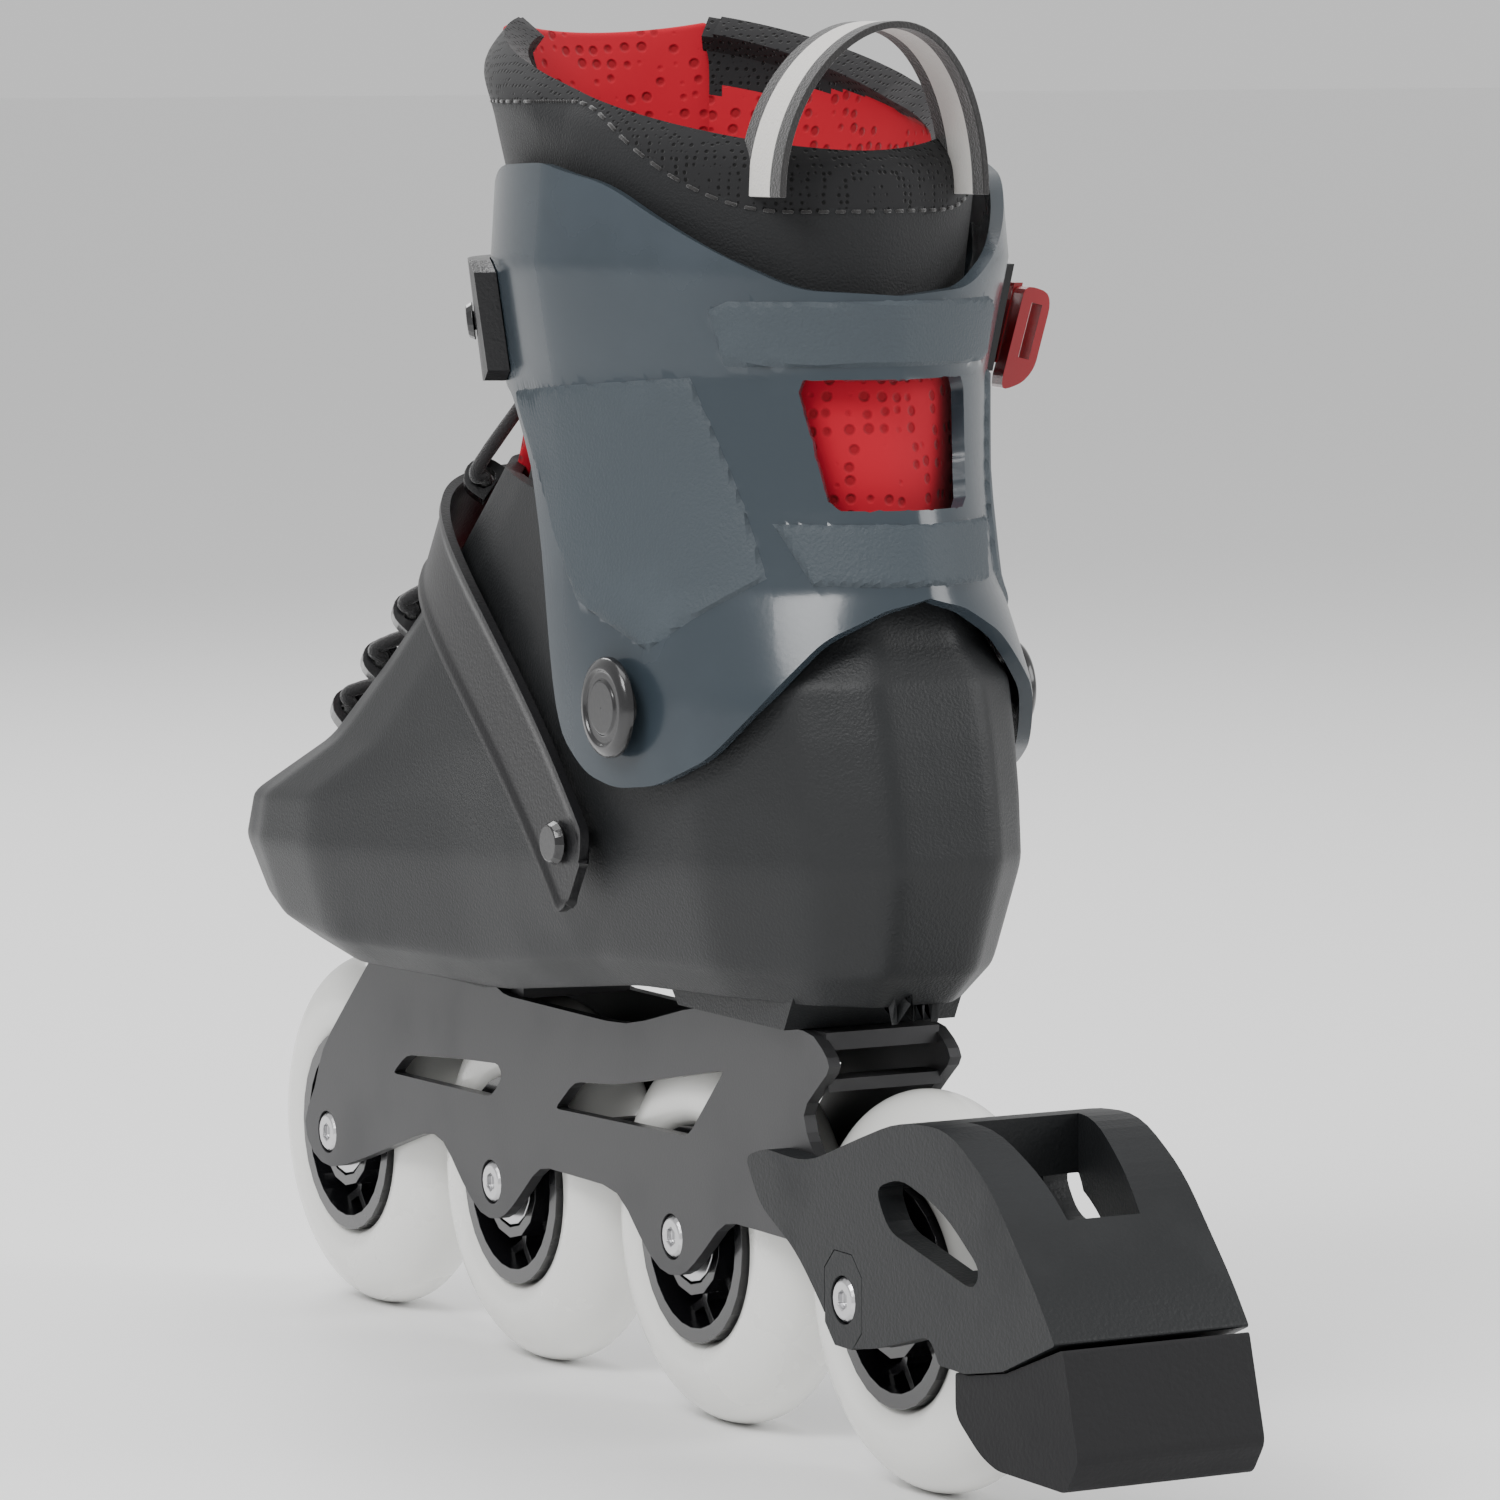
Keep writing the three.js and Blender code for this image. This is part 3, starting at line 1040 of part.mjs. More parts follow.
function addBoot() {
  const shell = add('shell', shellGeometry(), FINISH.shell);
  shell.updateMatrixWorld();
  add('frame_bolt_front', mountBoltGeometry(MOUNT_Y[0]), FINISH.steel);
  add('frame_bolt_rear', mountBoltGeometry(MOUNT_Y[1]), FINISH.steel);
  add('liner', linerGeometry(), FINISH.leather);
  const tongue = add('tongue', tongueGeometry(), FINISH.lining);
  tongue.updateMatrixWorld();
  add('footbed', footbedGeometry(), FINISH.lining);
  add('pull_loop', pullLoopGeometry(), FINISH.webbing);
  const seats = hookSeats(shell);
  seats.forEach((pair, k) => {
    add(`lace_hook_medial_${k + 1}`, hookGeometry(pair.get(1)), FINISH.trim);
    add(`lace_hook_lateral_${k + 1}`, hookGeometry(pair.get(-1)), FINISH.trim);
  });
  add('lace', laceGeometry(seats, shell, tongue), FINISH.lace);
}

// Height of the boot's floor along its middle.
function floorHeight(y) {
  const ring = levelRing(above(LEVELS[0], SHELL.wall), SHELL.wall, 0);
  const side = ring.slice(0, ring.length / 2 + 1).map((p) => [p.y, p.z]).reverse();
  return flat(side, y);
}

// Bolt from the boot's floor down into the frame's platform.
function mountBoltGeometry(y) {
  const { radius, head, headDepth } = MOUNT;
  const seat = Math.max(...[-1, 0, 1].map((k) => floorHeight(y + k * head))) + GAP;
  const platform = (y < 0 ? FRAME.frontTop : FRAME.rearTop) - FRAME.plate + 0.5;
  return join(rodZ(radius, platform, seat + 0.5, 0, y), rodZ(head, seat, seat + headDepth, 0, y, 6));
}

function addCuff() {
  add('cuff', cuffGeometry(), FINISH.cuff);
  add('ankle_pivot_medial', pivotGeometry(1), FINISH.trim);
  add('ankle_pivot_lateral', pivotGeometry(-1), FINISH.trim);
  add('strap_anchor', anchorGeometry(), FINISH.trim);
  add('anchor_screw', screwAt(anchorScrewPlace(), 4.6, 1.6, 2.2, ANCHOR.thick + 1.5), FINISH.trim);
  add('cuff_strap', cuffStrapGeometry(), FINISH.strap);
  addBuckle('cuff', CUFF_BUCKLE, [cuffFit()]);
}

function addInstepStrap() {
  add('instep_strap', instepStrapGeometry(), FINISH.strap);
  add('instep_screw_medial', instepScrewGeometry(1), FINISH.trim);
  add('instep_screw_lateral', instepScrewGeometry(-1), FINISH.trim);
  addBuckle('instep', INSTEP_BUCKLE, [instepScrewHole()]);
}

// A buckle's base plate, lever pin and lever.
function addBuckle(name, buckle, holes) {
  const pin = placed(pinRod(BUCKLE.pinRadius, BUCKLE.half), buckle.frameAt(buckle.at));
  add(`${name}_buckle_base`, cut(baseGeometry(buckle), ...holes), FINISH.trim);
  add(`${name}_lever_pin`, pin, FINISH.steel);
  add(`${name}_lever`, leverGeometry(buckle), FINISH.lever);
}

addWheels();
addFrameAndBrake();
addBoot();
addCuff();
addInstepStrap();

const bounds = new THREE.Box3().setFromObject(skate);
const middle = bounds.getCenter(V(0, 0, 0));
skate.position.set(-middle.x, -middle.y, -bounds.min.z);

export default skate;
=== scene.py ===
"""Right inline skate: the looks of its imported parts.

Helpers take millimetres in the skate's own axes: x 0 in the wheels' plane and + on the medial side,
y 0 midway between the end axles and - towards the toe, z 0 on the ground. Meshes are in metres.
"""
import math

import bmesh
import bpy
from mathutils import Matrix, Vector


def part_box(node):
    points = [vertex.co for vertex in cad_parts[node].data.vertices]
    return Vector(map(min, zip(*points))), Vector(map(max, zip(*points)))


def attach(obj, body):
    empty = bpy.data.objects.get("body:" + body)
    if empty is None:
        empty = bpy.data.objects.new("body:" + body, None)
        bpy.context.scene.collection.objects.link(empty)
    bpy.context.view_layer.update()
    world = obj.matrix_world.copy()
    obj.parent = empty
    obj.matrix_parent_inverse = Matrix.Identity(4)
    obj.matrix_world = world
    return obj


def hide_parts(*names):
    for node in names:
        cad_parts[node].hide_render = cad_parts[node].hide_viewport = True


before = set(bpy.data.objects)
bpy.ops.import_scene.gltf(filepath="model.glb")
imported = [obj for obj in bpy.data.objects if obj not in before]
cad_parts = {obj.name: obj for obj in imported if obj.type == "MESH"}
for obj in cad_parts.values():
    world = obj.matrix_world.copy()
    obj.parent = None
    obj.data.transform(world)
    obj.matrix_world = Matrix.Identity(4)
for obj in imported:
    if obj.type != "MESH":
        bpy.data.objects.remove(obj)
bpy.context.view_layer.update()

MM = 0.001
TOE_AXLE_Y = -142.5
AXLES_Y = [TOE_AXLE_Y + 95 * i for i in range(4)]
low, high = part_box("tyre_1")
ORIGIN = Vector(((low[0] + high[0]) / 2, (low[1] + high[1]) / 2 - TOE_AXLE_Y * MM, 0))


def metres(point):
    """Row-frame place of a point given in millimetres in the skate's axes."""
    return Vector(point) * MM + ORIGIN


def millimetres(place):
    return (place - ORIGIN) / MM


# ---------------------------------------------------------------- camera
def add_camera():
    eye = (781.736, 1514.52, 317.077)
    yaw, pitch, roll = -2.06268, -0.095542, -0.00479
    data = bpy.data.cameras.new("camera")
    data.sensor_width = 36
    data.lens = 172.73
    data.clip_end = 200
    camera = bpy.data.objects.new("camera", data)
    bpy.context.scene.collection.objects.link(camera)
    ahead = Vector((math.cos(pitch) * math.cos(yaw), math.cos(pitch) * math.sin(yaw), math.sin(pitch)))
    across = ahead.cross(Vector((0, 0, 1))).normalized()
    upright = across.cross(ahead)
    right = across * math.cos(roll) + upright * math.sin(roll)
    up = upright * math.cos(roll) - across * math.sin(roll)
    turn = Matrix((right, up, -ahead)).transposed().to_4x4()
    camera.matrix_world = Matrix.Translation(metres(eye)) @ turn
    bpy.context.scene.camera = camera


add_camera()


# ---------------------------------------------------------------- shader groups
def shader_group(name, inputs, outputs):
    group = bpy.data.node_groups.new(name, "ShaderNodeTree")
    for label, value in inputs.items():
        group.interface.new_socket(label, in_out="INPUT", socket_type="NodeSocketFloat").default_value = value
    for label, kind in outputs.items():
        group.interface.new_socket(label, in_out="OUTPUT", socket_type=kind)
    return group, group.nodes.new("NodeGroupInput"), group.nodes.new("NodeGroupOutput")


def noise_node(group, scale, detail):
    place = group.nodes.new("ShaderNodeTexCoord")
    noise = group.nodes.new("ShaderNodeTexNoise")
    noise.inputs["Scale"].default_value = scale
    noise.inputs["Detail"].default_value = detail
    group.links.new(place.outputs["Object"], noise.inputs["Vector"])
    return noise


def spread_node(group, source, low_value, high_value):
    """Soft mask from 0 to 1 between two values."""
    spread = group.nodes.new("ShaderNodeMapRange")
    spread.interpolation_type = "SMOOTHSTEP"
    spread.inputs["From Min"].default_value = low_value
    spread.inputs["From Max"].default_value = high_value
    group.links.new(source, spread.inputs["Value"])
    return spread


def moulded_grain():
    """Fine grain of a mould as a normal, with a soft mask of dusty patches."""
    group, given, result = shader_group(
        "moulded_grain", {"Scale": 900, "Strength": 0.1},
        {"Normal": "NodeSocketVector", "Dust": "NodeSocketFloat"})
    grain = noise_node(group, 900, 3)
    group.links.new(given.outputs["Scale"], grain.inputs["Scale"])
    bump = group.nodes.new("ShaderNodeBump")
    bump.inputs["Distance"].default_value = 0.0006
    group.links.new(given.outputs["Strength"], bump.inputs["Strength"])
    group.links.new(grain.outputs["Fac"], bump.inputs["Height"])
    dust = spread_node(group, noise_node(group, 24, 6).outputs["Fac"], 0.48, 0.72)
    group.links.new(bump.outputs["Normal"], result.inputs["Normal"])
    group.links.new(dust.outputs["Result"], result.inputs["Dust"])
    return group


def holed_mesh():
    """Knitted mesh: a mask that is 0 in its small holes, and the normal of its threads."""
    group, given, result = shader_group(
        "holed_mesh", {"Scale": 420, "Strength": 0.6},
        {"Thread": "NodeSocketFloat", "Normal": "NodeSocketVector"})
    place = group.nodes.new("ShaderNodeTexCoord")
    cells = group.nodes.new("ShaderNodeTexVoronoi")
    cells.inputs["Randomness"].default_value = 0.3
    group.links.new(place.outputs["Object"], cells.inputs["Vector"])
    group.links.new(given.outputs["Scale"], cells.inputs["Scale"])
    thread = spread_node(group, cells.outputs["Distance"], 0.2, 0.38)
    bump = group.nodes.new("ShaderNodeBump")
    bump.inputs["Distance"].default_value = 0.0008
    group.links.new(given.outputs["Strength"], bump.inputs["Strength"])
    group.links.new(thread.outputs["Result"], bump.inputs["Height"])
    group.links.new(thread.outputs["Result"], result.inputs["Thread"])
    group.links.new(bump.outputs["Normal"], result.inputs["Normal"])
    return group


GRAIN = moulded_grain()
MESH_CLOTH = holed_mesh()


# ---------------------------------------------------------------- materials
def new_material(name, group, settings):
    material = bpy.data.materials.new(name)
    material.use_nodes = True
    tree = material.node_tree
    effect = tree.nodes.new("ShaderNodeGroup")
    effect.node_tree = group
    for label, value in settings.items():
        effect.inputs[label].default_value = value
    shader = tree.nodes["Principled BSDF"]
    tree.links.new(effect.outputs["Normal"], shader.inputs["Normal"])
    return material, tree, effect, shader


def two_colours(tree, mask, shader, first, second):
    mix = tree.nodes.new("ShaderNodeMix")
    mix.data_type = "RGBA"
    colours = [socket for socket in mix.inputs if socket.type == "RGBA"]
    colours[0].default_value = (*first, 1)
    colours[1].default_value = (*second, 1)
    tree.links.new(mask, mix.inputs["Factor"])
    result = next(socket for socket in mix.outputs if socket.type == "RGBA")
    tree.links.new(result, shader.inputs["Base Color"])


def moulded(name, colour, rough, metal=0.0, coat=0.0, grain=900, depth=0.1, dust=0.1, sheen=0.0,
            specular=0.5):
    """Solid material: one colour with its grain, a little lighter and duller where dust lies."""
    material, tree, effect, shader = new_material(name, GRAIN, {"Scale": grain, "Strength": depth})
    shader.inputs["Metallic"].default_value = metal
    shader.inputs["Coat Weight"].default_value = coat
    shader.inputs["Coat Roughness"].default_value = 0.08
    shader.inputs["Sheen Weight"].default_value = sheen
    shader.inputs["Specular IOR Level"].default_value = specular
    dusty = [min(1, part * (1 + 1.5 * dust) + 0.01 * dust) for part in colour]
    two_colours(tree, effect.outputs["Dust"], shader, colour, dusty)
    dull = tree.nodes.new("ShaderNodeMapRange")
    dull.inputs["To Min"].default_value = rough
    dull.inputs["To Max"].default_value = min(1, rough + dust)
    tree.links.new(effect.outputs["Dust"], dull.inputs["Value"])
    tree.links.new(dull.outputs["Result"], shader.inputs["Roughness"])
    return material


def knitted(name, colour, hole, scale, depth):
    material, tree, effect, shader = new_material(name, MESH_CLOTH, {"Scale": scale, "Strength": depth})
    shader.inputs["Roughness"].default_value = 0.85
    shader.inputs["Sheen Weight"].default_value = 0.1
    shader.inputs["Specular IOR Level"].default_value = 0.2
    two_colours(tree, effect.outputs["Thread"], shader, hole, colour)
    return material


FINISH = {
    "urethane": moulded("urethane", (0.80, 0.80, 0.77), 0.26, coat=0.4, grain=300, depth=0.02, dust=0.02),
    "hub_plastic": moulded("hub_plastic", (0.006, 0.006, 0.007), 0.20, coat=0.5, grain=500, depth=0.03),
    "steel": moulded("steel", (0.60, 0.60, 0.61), 0.28, metal=1.0, grain=1400, depth=0.05),
    "frame_metal": moulded("frame_metal", (0.045, 0.045, 0.047), 0.38, metal=0.5, grain=2200, depth=0.06),
    "brake_plastic": moulded("brake_plastic", (0.010, 0.011, 0.012), 0.44, grain=1100, depth=0.2, dust=0.2,
                             specular=0.3),
    "brake_rubber": moulded("brake_rubber", (0.012, 0.012, 0.013), 0.66, grain=800, depth=0.3, dust=0.2,
                            specular=0.25),
    "shell_plastic": moulded("shell_plastic", (0.015, 0.016, 0.017), 0.46, grain=1500, depth=0.3,
                             specular=0.3),
    "cuff_plastic": moulded("cuff_plastic", (0.030, 0.041, 0.051), 0.22, coat=0.2, grain=900, depth=0.03,
                            specular=0.4),
    "cuff_matt": moulded("cuff_matt", (0.048, 0.060, 0.070), 0.55, grain=1300, depth=0.5, specular=0.3),
    "strap_plastic": moulded("strap_plastic", (0.010, 0.010, 0.011), 0.34, grain=1200, depth=0.2,
                             specular=0.35),
    "lever_plastic": moulded("lever_plastic", (0.30, 0.012, 0.018), 0.22, coat=0.5, grain=600, depth=0.03,
                             dust=0.05),
    "black_trim": moulded("black_trim", (0.007, 0.007, 0.008), 0.24, coat=0.4, grain=900, depth=0.06),
    "liner_fabric": moulded("liner_fabric", (0.011, 0.0115, 0.0125), 0.62, grain=1700, depth=0.5, sheen=0.1,
                            specular=0.25),
    "webbing": moulded("webbing", (0.012, 0.011, 0.011), 0.85, grain=1500, depth=0.6, sheen=0.4),
    "stripe": moulded("stripe", (0.62, 0.60, 0.57), 0.85, grain=1500, depth=0.6, dust=0.05, sheen=0.4),
    "lace_cord": moulded("lace_cord", (0.007, 0.007, 0.008), 0.80, grain=2200, depth=0.8, sheen=0.4),
    "red_mesh": knitted("red_mesh", (0.44, 0.007, 0.021), (0.27, 0.004, 0.012), 260, 0.7),
    "collar_mesh": knitted("collar_mesh", (0.016, 0.016, 0.017), (0.002, 0.002, 0.002), 620, 0.7),
}


# ---------------------------------------------------------------- values along a table
def clamp(value, least=0.0, most=1.0):
    return max(least, min(most, value))


def lerp(a, b, t):
    return a + (b - a) * t


def smoothstep(value, start, stop):
    t = clamp((value - start) / (stop - start))
    return t * t * (3 - 2 * t)


def along(table, at):
    """Straight-line value of a table of (place, value)."""
    for (a, start), (b, stop) in zip(table, table[1:]):
        if at <= b:
            return lerp(start, stop, clamp((at - a) / (b - a)))
    return table[-1][1]


def eased(table, at, width):
    """Value of a table with its corners rounded over a width."""
    return sum(along(table, at + width * k / 4) for k in range(-4, 5)) / 9


def through(values, at):
    """Smooth curve through evenly spaced numbers or points; at runs from 0 to their last index."""
    last = len(values) - 1
    k = min(int(clamp(at, 0, last)), last - 1)
    t = clamp(at, 0, last) - k
    a, b, c, d = (values[int(clamp(k + step, 0, last))] for step in (-1, 0, 1, 2))
    bend = (a * 2 - b * 5 + c * 4 - d) * t ** 2
    return (b * 2 + (c - a) * t + bend + (b * 3 - a - c * 3 + d) * t ** 3) * 0.5


# ---------------------------------------------------------------- making pieces
def draped_grid(columns, rows, place):
    """Sheet of square cells whose corners go to place(u, v), both from 0 to 1."""
    bm = bmesh.new()
    bmesh.ops.create_grid(bm, x_segments=columns, y_segments=rows, size=1)
    for vert in bm.verts:
        vert.co = metres(place((vert.co.x + 1) / 2, (vert.co.y + 1) / 2))
    bmesh.ops.remove_doubles(bm, verts=bm.verts, dist=2e-6)
    bmesh.ops.recalc_face_normals(bm, faces=bm.faces)
    return bm


def piece(name, bm, body, finishes, replaces=(), smooth=True):
    """Object of a bmesh that rides on a body and stands for the CAD nodes it replaces."""
    mesh = bpy.data.meshes.new(name)
    for face in bm.faces:
        face.smooth = smooth
    bm.to_mesh(mesh)
    bm.free()
    for finish in finishes:
        mesh.materials.append(FINISH[finish])
    made = bpy.data.objects.new(name, mesh)
    bpy.context.scene.collection.objects.link(made)
    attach(made, body)
    if replaces:
        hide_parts(*replaces)
    return made


def wall(made, thickness, offset=-1):
    solid = made.modifiers.new("wall", "SOLIDIFY")
    solid.thickness = thickness * MM
    solid.offset = offset


def soften(made, width=0.5, angle=32, segments=2, weld=False):
    """Rounds the edges sharper than an angle."""
    if weld:
        made.modifiers.new("weld", "WELD").merge_threshold = 1e-5
    bevel = made.modifiers.new("edges", "BEVEL")
    bevel.width = width * MM
    bevel.segments = segments
    bevel.limit_method = "ANGLE"
    bevel.angle_limit = math.radians(angle)
    bevel.harden_normals = True
    made.modifiers.new("normals", "WEIGHTED_NORMAL").keep_sharp = True


def roll_edges(made, width, segments):
    """Round roll along the open edges of a padded wall."""
    bevel = made.modifiers.new("rolled_edge", "BEVEL")
    bevel.width = width * MM
    bevel.segments = segments
    bevel.limit_method = "ANGLE"
    bevel.angle_limit = math.radians(50)


SLIVER = 0.3  # corners of a cut nearer than this are one


def inside(outline, a, b):
    """Whether (a, b) lies in a flat outline."""
    odd = False
    for (a0, b0), (a1, b1) in zip(outline, outline[1:] + outline[:1]):
        if (b0 > b) != (b1 > b) and a < (a1 - a0) * (b - b0) / (b1 - b0) + a0:
            odd = not odd
    return odd


def faces_within(bm, outline, axes, side):
    """Cuts the sheet along an outline drawn on two of its axes and gives the faces inside it."""
    other = next(axis for axis in range(3) if axis not in axes)
    for (a0, b0), (a1, b1) in zip(outline, outline[1:] + outline[:1]):
        place, run, out = [0, 0, 0], [0, 0, 0], [0, 0, 0]
        place[axes[0]], place[axes[1]] = a0, b0
        run[axes[0]], run[axes[1]] = a1 - a0, b1 - b0
        out[other] = 1
        faces = [face for face in bm.faces if side(millimetres(face.calc_center_median()))]
        geometry = list({*faces, *(e for f in faces for e in f.edges), *(v for f in faces for v in f.verts)})
        bmesh.ops.bisect_plane(bm, geom=geometry, dist=1e-7, plane_co=metres(place),
                               plane_no=Vector(run).cross(Vector(out)).normalized())
    bmesh.ops.remove_doubles(bm, verts=bm.verts, dist=SLIVER * MM)
    chosen = []
    for face in bm.faces:
        centre = millimetres(face.calc_center_median())
        if side(centre) and inside(outline, centre[axes[0]], centre[axes[1]]):
            chosen.append(face)
    return chosen


def cut_out(bm, outline, axes, side):
    bmesh.ops.delete(bm, geom=faces_within(bm, outline, axes, side), context="FACES")


def raise_panel(bm, outline, axes, side, height, finish=1):
    """Panel standing proud of the sheet inside an outline, in its own finish."""
    faces = faces_within(bm, outline, axes, side)
    normals = {vert: vert.normal.copy() for face in faces for vert in face.verts}
    rim = {vert for face in faces for edge in face.edges for vert in edge.verts
           if sum(other in faces for other in edge.link_faces) == 1}
    for vert, normal in normals.items():
        vert.co += normal * height * MM * (0.0 if vert in rim else 1.0)
    for face in faces:
        face.material_index = finish


def turned(profile, centre, turns=96):
    """Solid turned about a line along x through centre, from (radius, x) points that close on themselves."""
    bm = bmesh.new()
    verts = [bm.verts.new(metres((centre[0] + x, centre[1] + r, centre[2]))) for r, x in profile]
    edges = [bm.edges.new(pair) for pair in zip(verts, verts[1:] + verts[:1])]
    bmesh.ops.spin(bm, geom=verts + edges, cent=metres(centre), axis=(1, 0, 0), angle=2 * math.pi,
                   steps=turns, use_merge=True)
    bmesh.ops.remove_doubles(bm, verts=bm.verts, dist=2e-6)
    bmesh.ops.recalc_face_normals(bm, faces=bm.faces)
    return bm


# ---------------------------------------------------------------- wheels
def tyre_profile():
    half, crown, radius, rim = 12, 13, 45, 25.5
    arc = []
    for k in range(-14, 15):
        a = math.radians(90 * k / 14)
        arc.append((radius - crown + crown * math.cos(a), half * math.sin(a)))
    lateral = [(rim, -9), (rim + 1.2, -10.6), (rim + 3, -11.6)]
    medial = [(rim + 3, 11.6), (rim + 1.2, 10.6), (rim, 9)]
    return [*lateral, *arc, *medial]


for number, y in enumerate(AXLES_Y, 1):
    piece(f"tyre_shape_{number}", turned(tyre_profile(), (0, y, 45), 128), f"wheel_{number}", ["urethane"],
          [f"tyre_{number}"])


# ---------------------------------------------------------------- boot outlines
ANKLE_Y = 60
HEEL_END, TOE_START = 0.34, 0.6  # where the ends of an outline meet its straight waist
LEVEL_KEYS = ("heel", "toe", "heelHalf", "toeHalf", "ball", "heelZ", "toeZ", "dip", "skew", "waist",
              "heelPower", "toePower")
SHELL_LEVELS = [
    (135, -150, 31, 37, -72, 107.5, 104, 1, 5, 2.5, 2.1, 2),
    (143.5, -158, 38, 45, -72, 116, 109, 0.85, 6, 2.5, 2.1, 2),
    (151.5, -164, 44, 49.5, -74, 140, 122, 0.15, 7, 2.5, 2.1, 2),
    (149, -159, 45, 48.5, -74, 155, 133, 0, 7, 2.5, 2.1, 2),
    (146, -117, 45.4, 44, -45, 168, 150, 0, 6, 0, 2.1, 2),
    (142, -88, 45.8, 42, -25, 180, 171, 0, 4, 0, 2.1, 2),
    (137, -52, 45, 41, -2, 188, 198, 0, 2, 0, 1.75, 2),
    (131, -22, 44, 39, 18, 203, 227, 0, 0, 0, 1.75, 2),
]
COLLAR_LEVELS = [
    (122.5, -14, 43, 40, 40, 226, 248, 0, 0, 0, 1.8, 2.2),
    (118.5, -12, 45, 43, 45, 258, 278, 0, 0, 0, 1.8, 2.2),
    (117.5, -18, 49, 49, 48, 282, 309, 0, 0, 0, 1.8, 2.2),
    (116.5, -22, 49, 51, 48, 292, 322, 0, 0, 0, 1.8, 2.2),
    (112, -17, 45, 46, 46, 297, 330, 0, 0, 0, 1.8, 2.2),
]


def level_at(levels, at):
    return {key: through([level[k] for level in levels], at) for k, key in enumerate(LEVEL_KEYS)}


def superellipse(angle, half, reach, power):
    return (half * max(math.sin(angle), 0) ** (2 / power), reach * max(math.cos(angle), 0) ** (2 / power))


FACETS = [-0.06, 0.06, 0.138, 0.234, 0.34, 0.47, 0.6, 0.7, 0.8, 0.9, 1.0]


def facet_point(level, u):
    """Ring point of the shell: flat between facet edges, whose corners are softly rounded."""
    side = 1 if u <= 0.5 else -1
    t = 2 * min(u, 1 - u)
    total = Vector((0, 0, 0))
    for step in (-1, 0, 1):
        at = t + 0.008 * step
        k = max(i for i in range(len(FACETS) - 1) if FACETS[i] <= at or i == 0)
        a, b = (facet_corner(level, FACETS[i]) for i in (k, k + 1))
        total += a.lerp(b, clamp((at - FACETS[k]) / (FACETS[k + 1] - FACETS[k]))) / 3
    skew = level["skew"] * (1 - clamp((total.y - level["toe"]) / (level["heel"] - level["toe"]))) ** 2
    x = 0 if t in (0, 1) else max(total.x, 0)
    return (side * x + skew, total.y, total.z)


def facet_corner(level, t):
    x, y, z = outline_point({**level, "skew": 0}, 0, abs(t) / 2)
    return Vector((math.copysign(x, t), y, z))


def outline_point(level, inset, u, drop=0.0, rise=0.0):
    """Point of a level's ring: u 0 at the heel, 0.5 at the toe, round by the medial side."""
    side = 1 if u <= 0.5 else -1
    t = 2 * min(u, 1 - u)
    heel_half, toe_half = level["heelHalf"] - inset, level["toeHalf"] - inset
    if t < HEEL_END:
        reach = level["heel"] - inset - ANKLE_Y
        x, y = superellipse(math.pi / 2 * t / HEEL_END, heel_half, reach, level["heelPower"])
        y += ANKLE_Y
    elif t < TOE_START:
        share = (t - HEEL_END) / (TOE_START - HEEL_END)
        x = lerp(heel_half, toe_half, share) - level["waist"] * math.sin(math.pi * share)
        y = lerp(ANKLE_Y, level["ball"], share)
    else:
        x, back = superellipse(math.pi / 2 * (1 - t) / 0.4, toe_half, level["ball"] - level["toe"] - inset,
                               level["toePower"])
        y = level["ball"] - back
    share = clamp((y - level["toe"]) / (level["heel"] - level["toe"]))
    off = abs(share - 0.4) / 0.4
    dip = 9.5 * math.cos(off * math.pi / 2) ** 2 if off < 1 else 0
    z = lerp(level["toeZ"], level["heelZ"], share) - level["dip"] * dip + drop * (1 - share) + rise
    return (side * x + level["skew"] * (1 - share) ** 2, y, z)


# ---------------------------------------------------------------- shell
THROAT = 19
SOLE_ROWS = 0.14


def shell_point(u, v):
    """The sole from its middle line outwards, then the wall up to the rim."""
    if v < SOLE_ROWS:
        x, y, z = facet_point(shell_level(0), u)
        middle = facet_point(shell_level(0), 1 - u)[0]
        return (lerp((x + middle) / 2, x, v / SOLE_ROWS), y, z)
    return facet_point(shell_level(7 * (v - SOLE_ROWS) / (1 - SOLE_ROWS)), u)


def shell_level(at):
    """Straight between levels, with the crease at each one softly rounded."""
    tables = [[(i, level[k]) for i, level in enumerate(SHELL_LEVELS)] for k in range(len(LEVEL_KEYS))]
    return {key: eased(table, at, 0.12) for key, table in zip(LEVEL_KEYS, tables)}


def make_shell():
    bm = draped_grid(176, 100, shell_point)
    throat = [(-114, 136), (50, 178), (50, 262), (-114, 262)]
    cut_out(bm, throat, (1, 2), lambda p: abs(p.x) < THROAT)
    shell = piece("shell_shape", bm, "boot", ["shell_plastic"], ["shell"])
    wall(shell, 4)
    soften(shell, 0.9, 50, 3)
    return shell


make_shell()


def prism(outline, half):
    """Outline in (y, z) carried across to both sides."""
    bm = bmesh.new()
    verts = [bm.verts.new(metres((-half, y, z))) for y, z in outline]
    face = bm.faces.new(verts)
    grown = bmesh.ops.extrude_face_region(bm, geom=[face])
    moved = [item for item in grown["geom"] if isinstance(item, bmesh.types.BMVert)]
    bmesh.ops.translate(bm, verts=moved, vec=(2 * half * MM, 0, 0))
    bmesh.ops.recalc_face_normals(bm, faces=bm.faces)
    return bm


for name, outline, half in (
        ("sole_block_front",
         [(-88, 104), (-79, 95.4), (-30, 95.4), (0, 99), (34, 104), (38, 110), (-58, 109)], 27),
        ("sole_block_rear", [(53, 110), (61, 101.2), (112, 101.2), (117, 110)], 22)):
    piece(name, prism(outline, half), "boot", ["shell_plastic"], smooth=False)


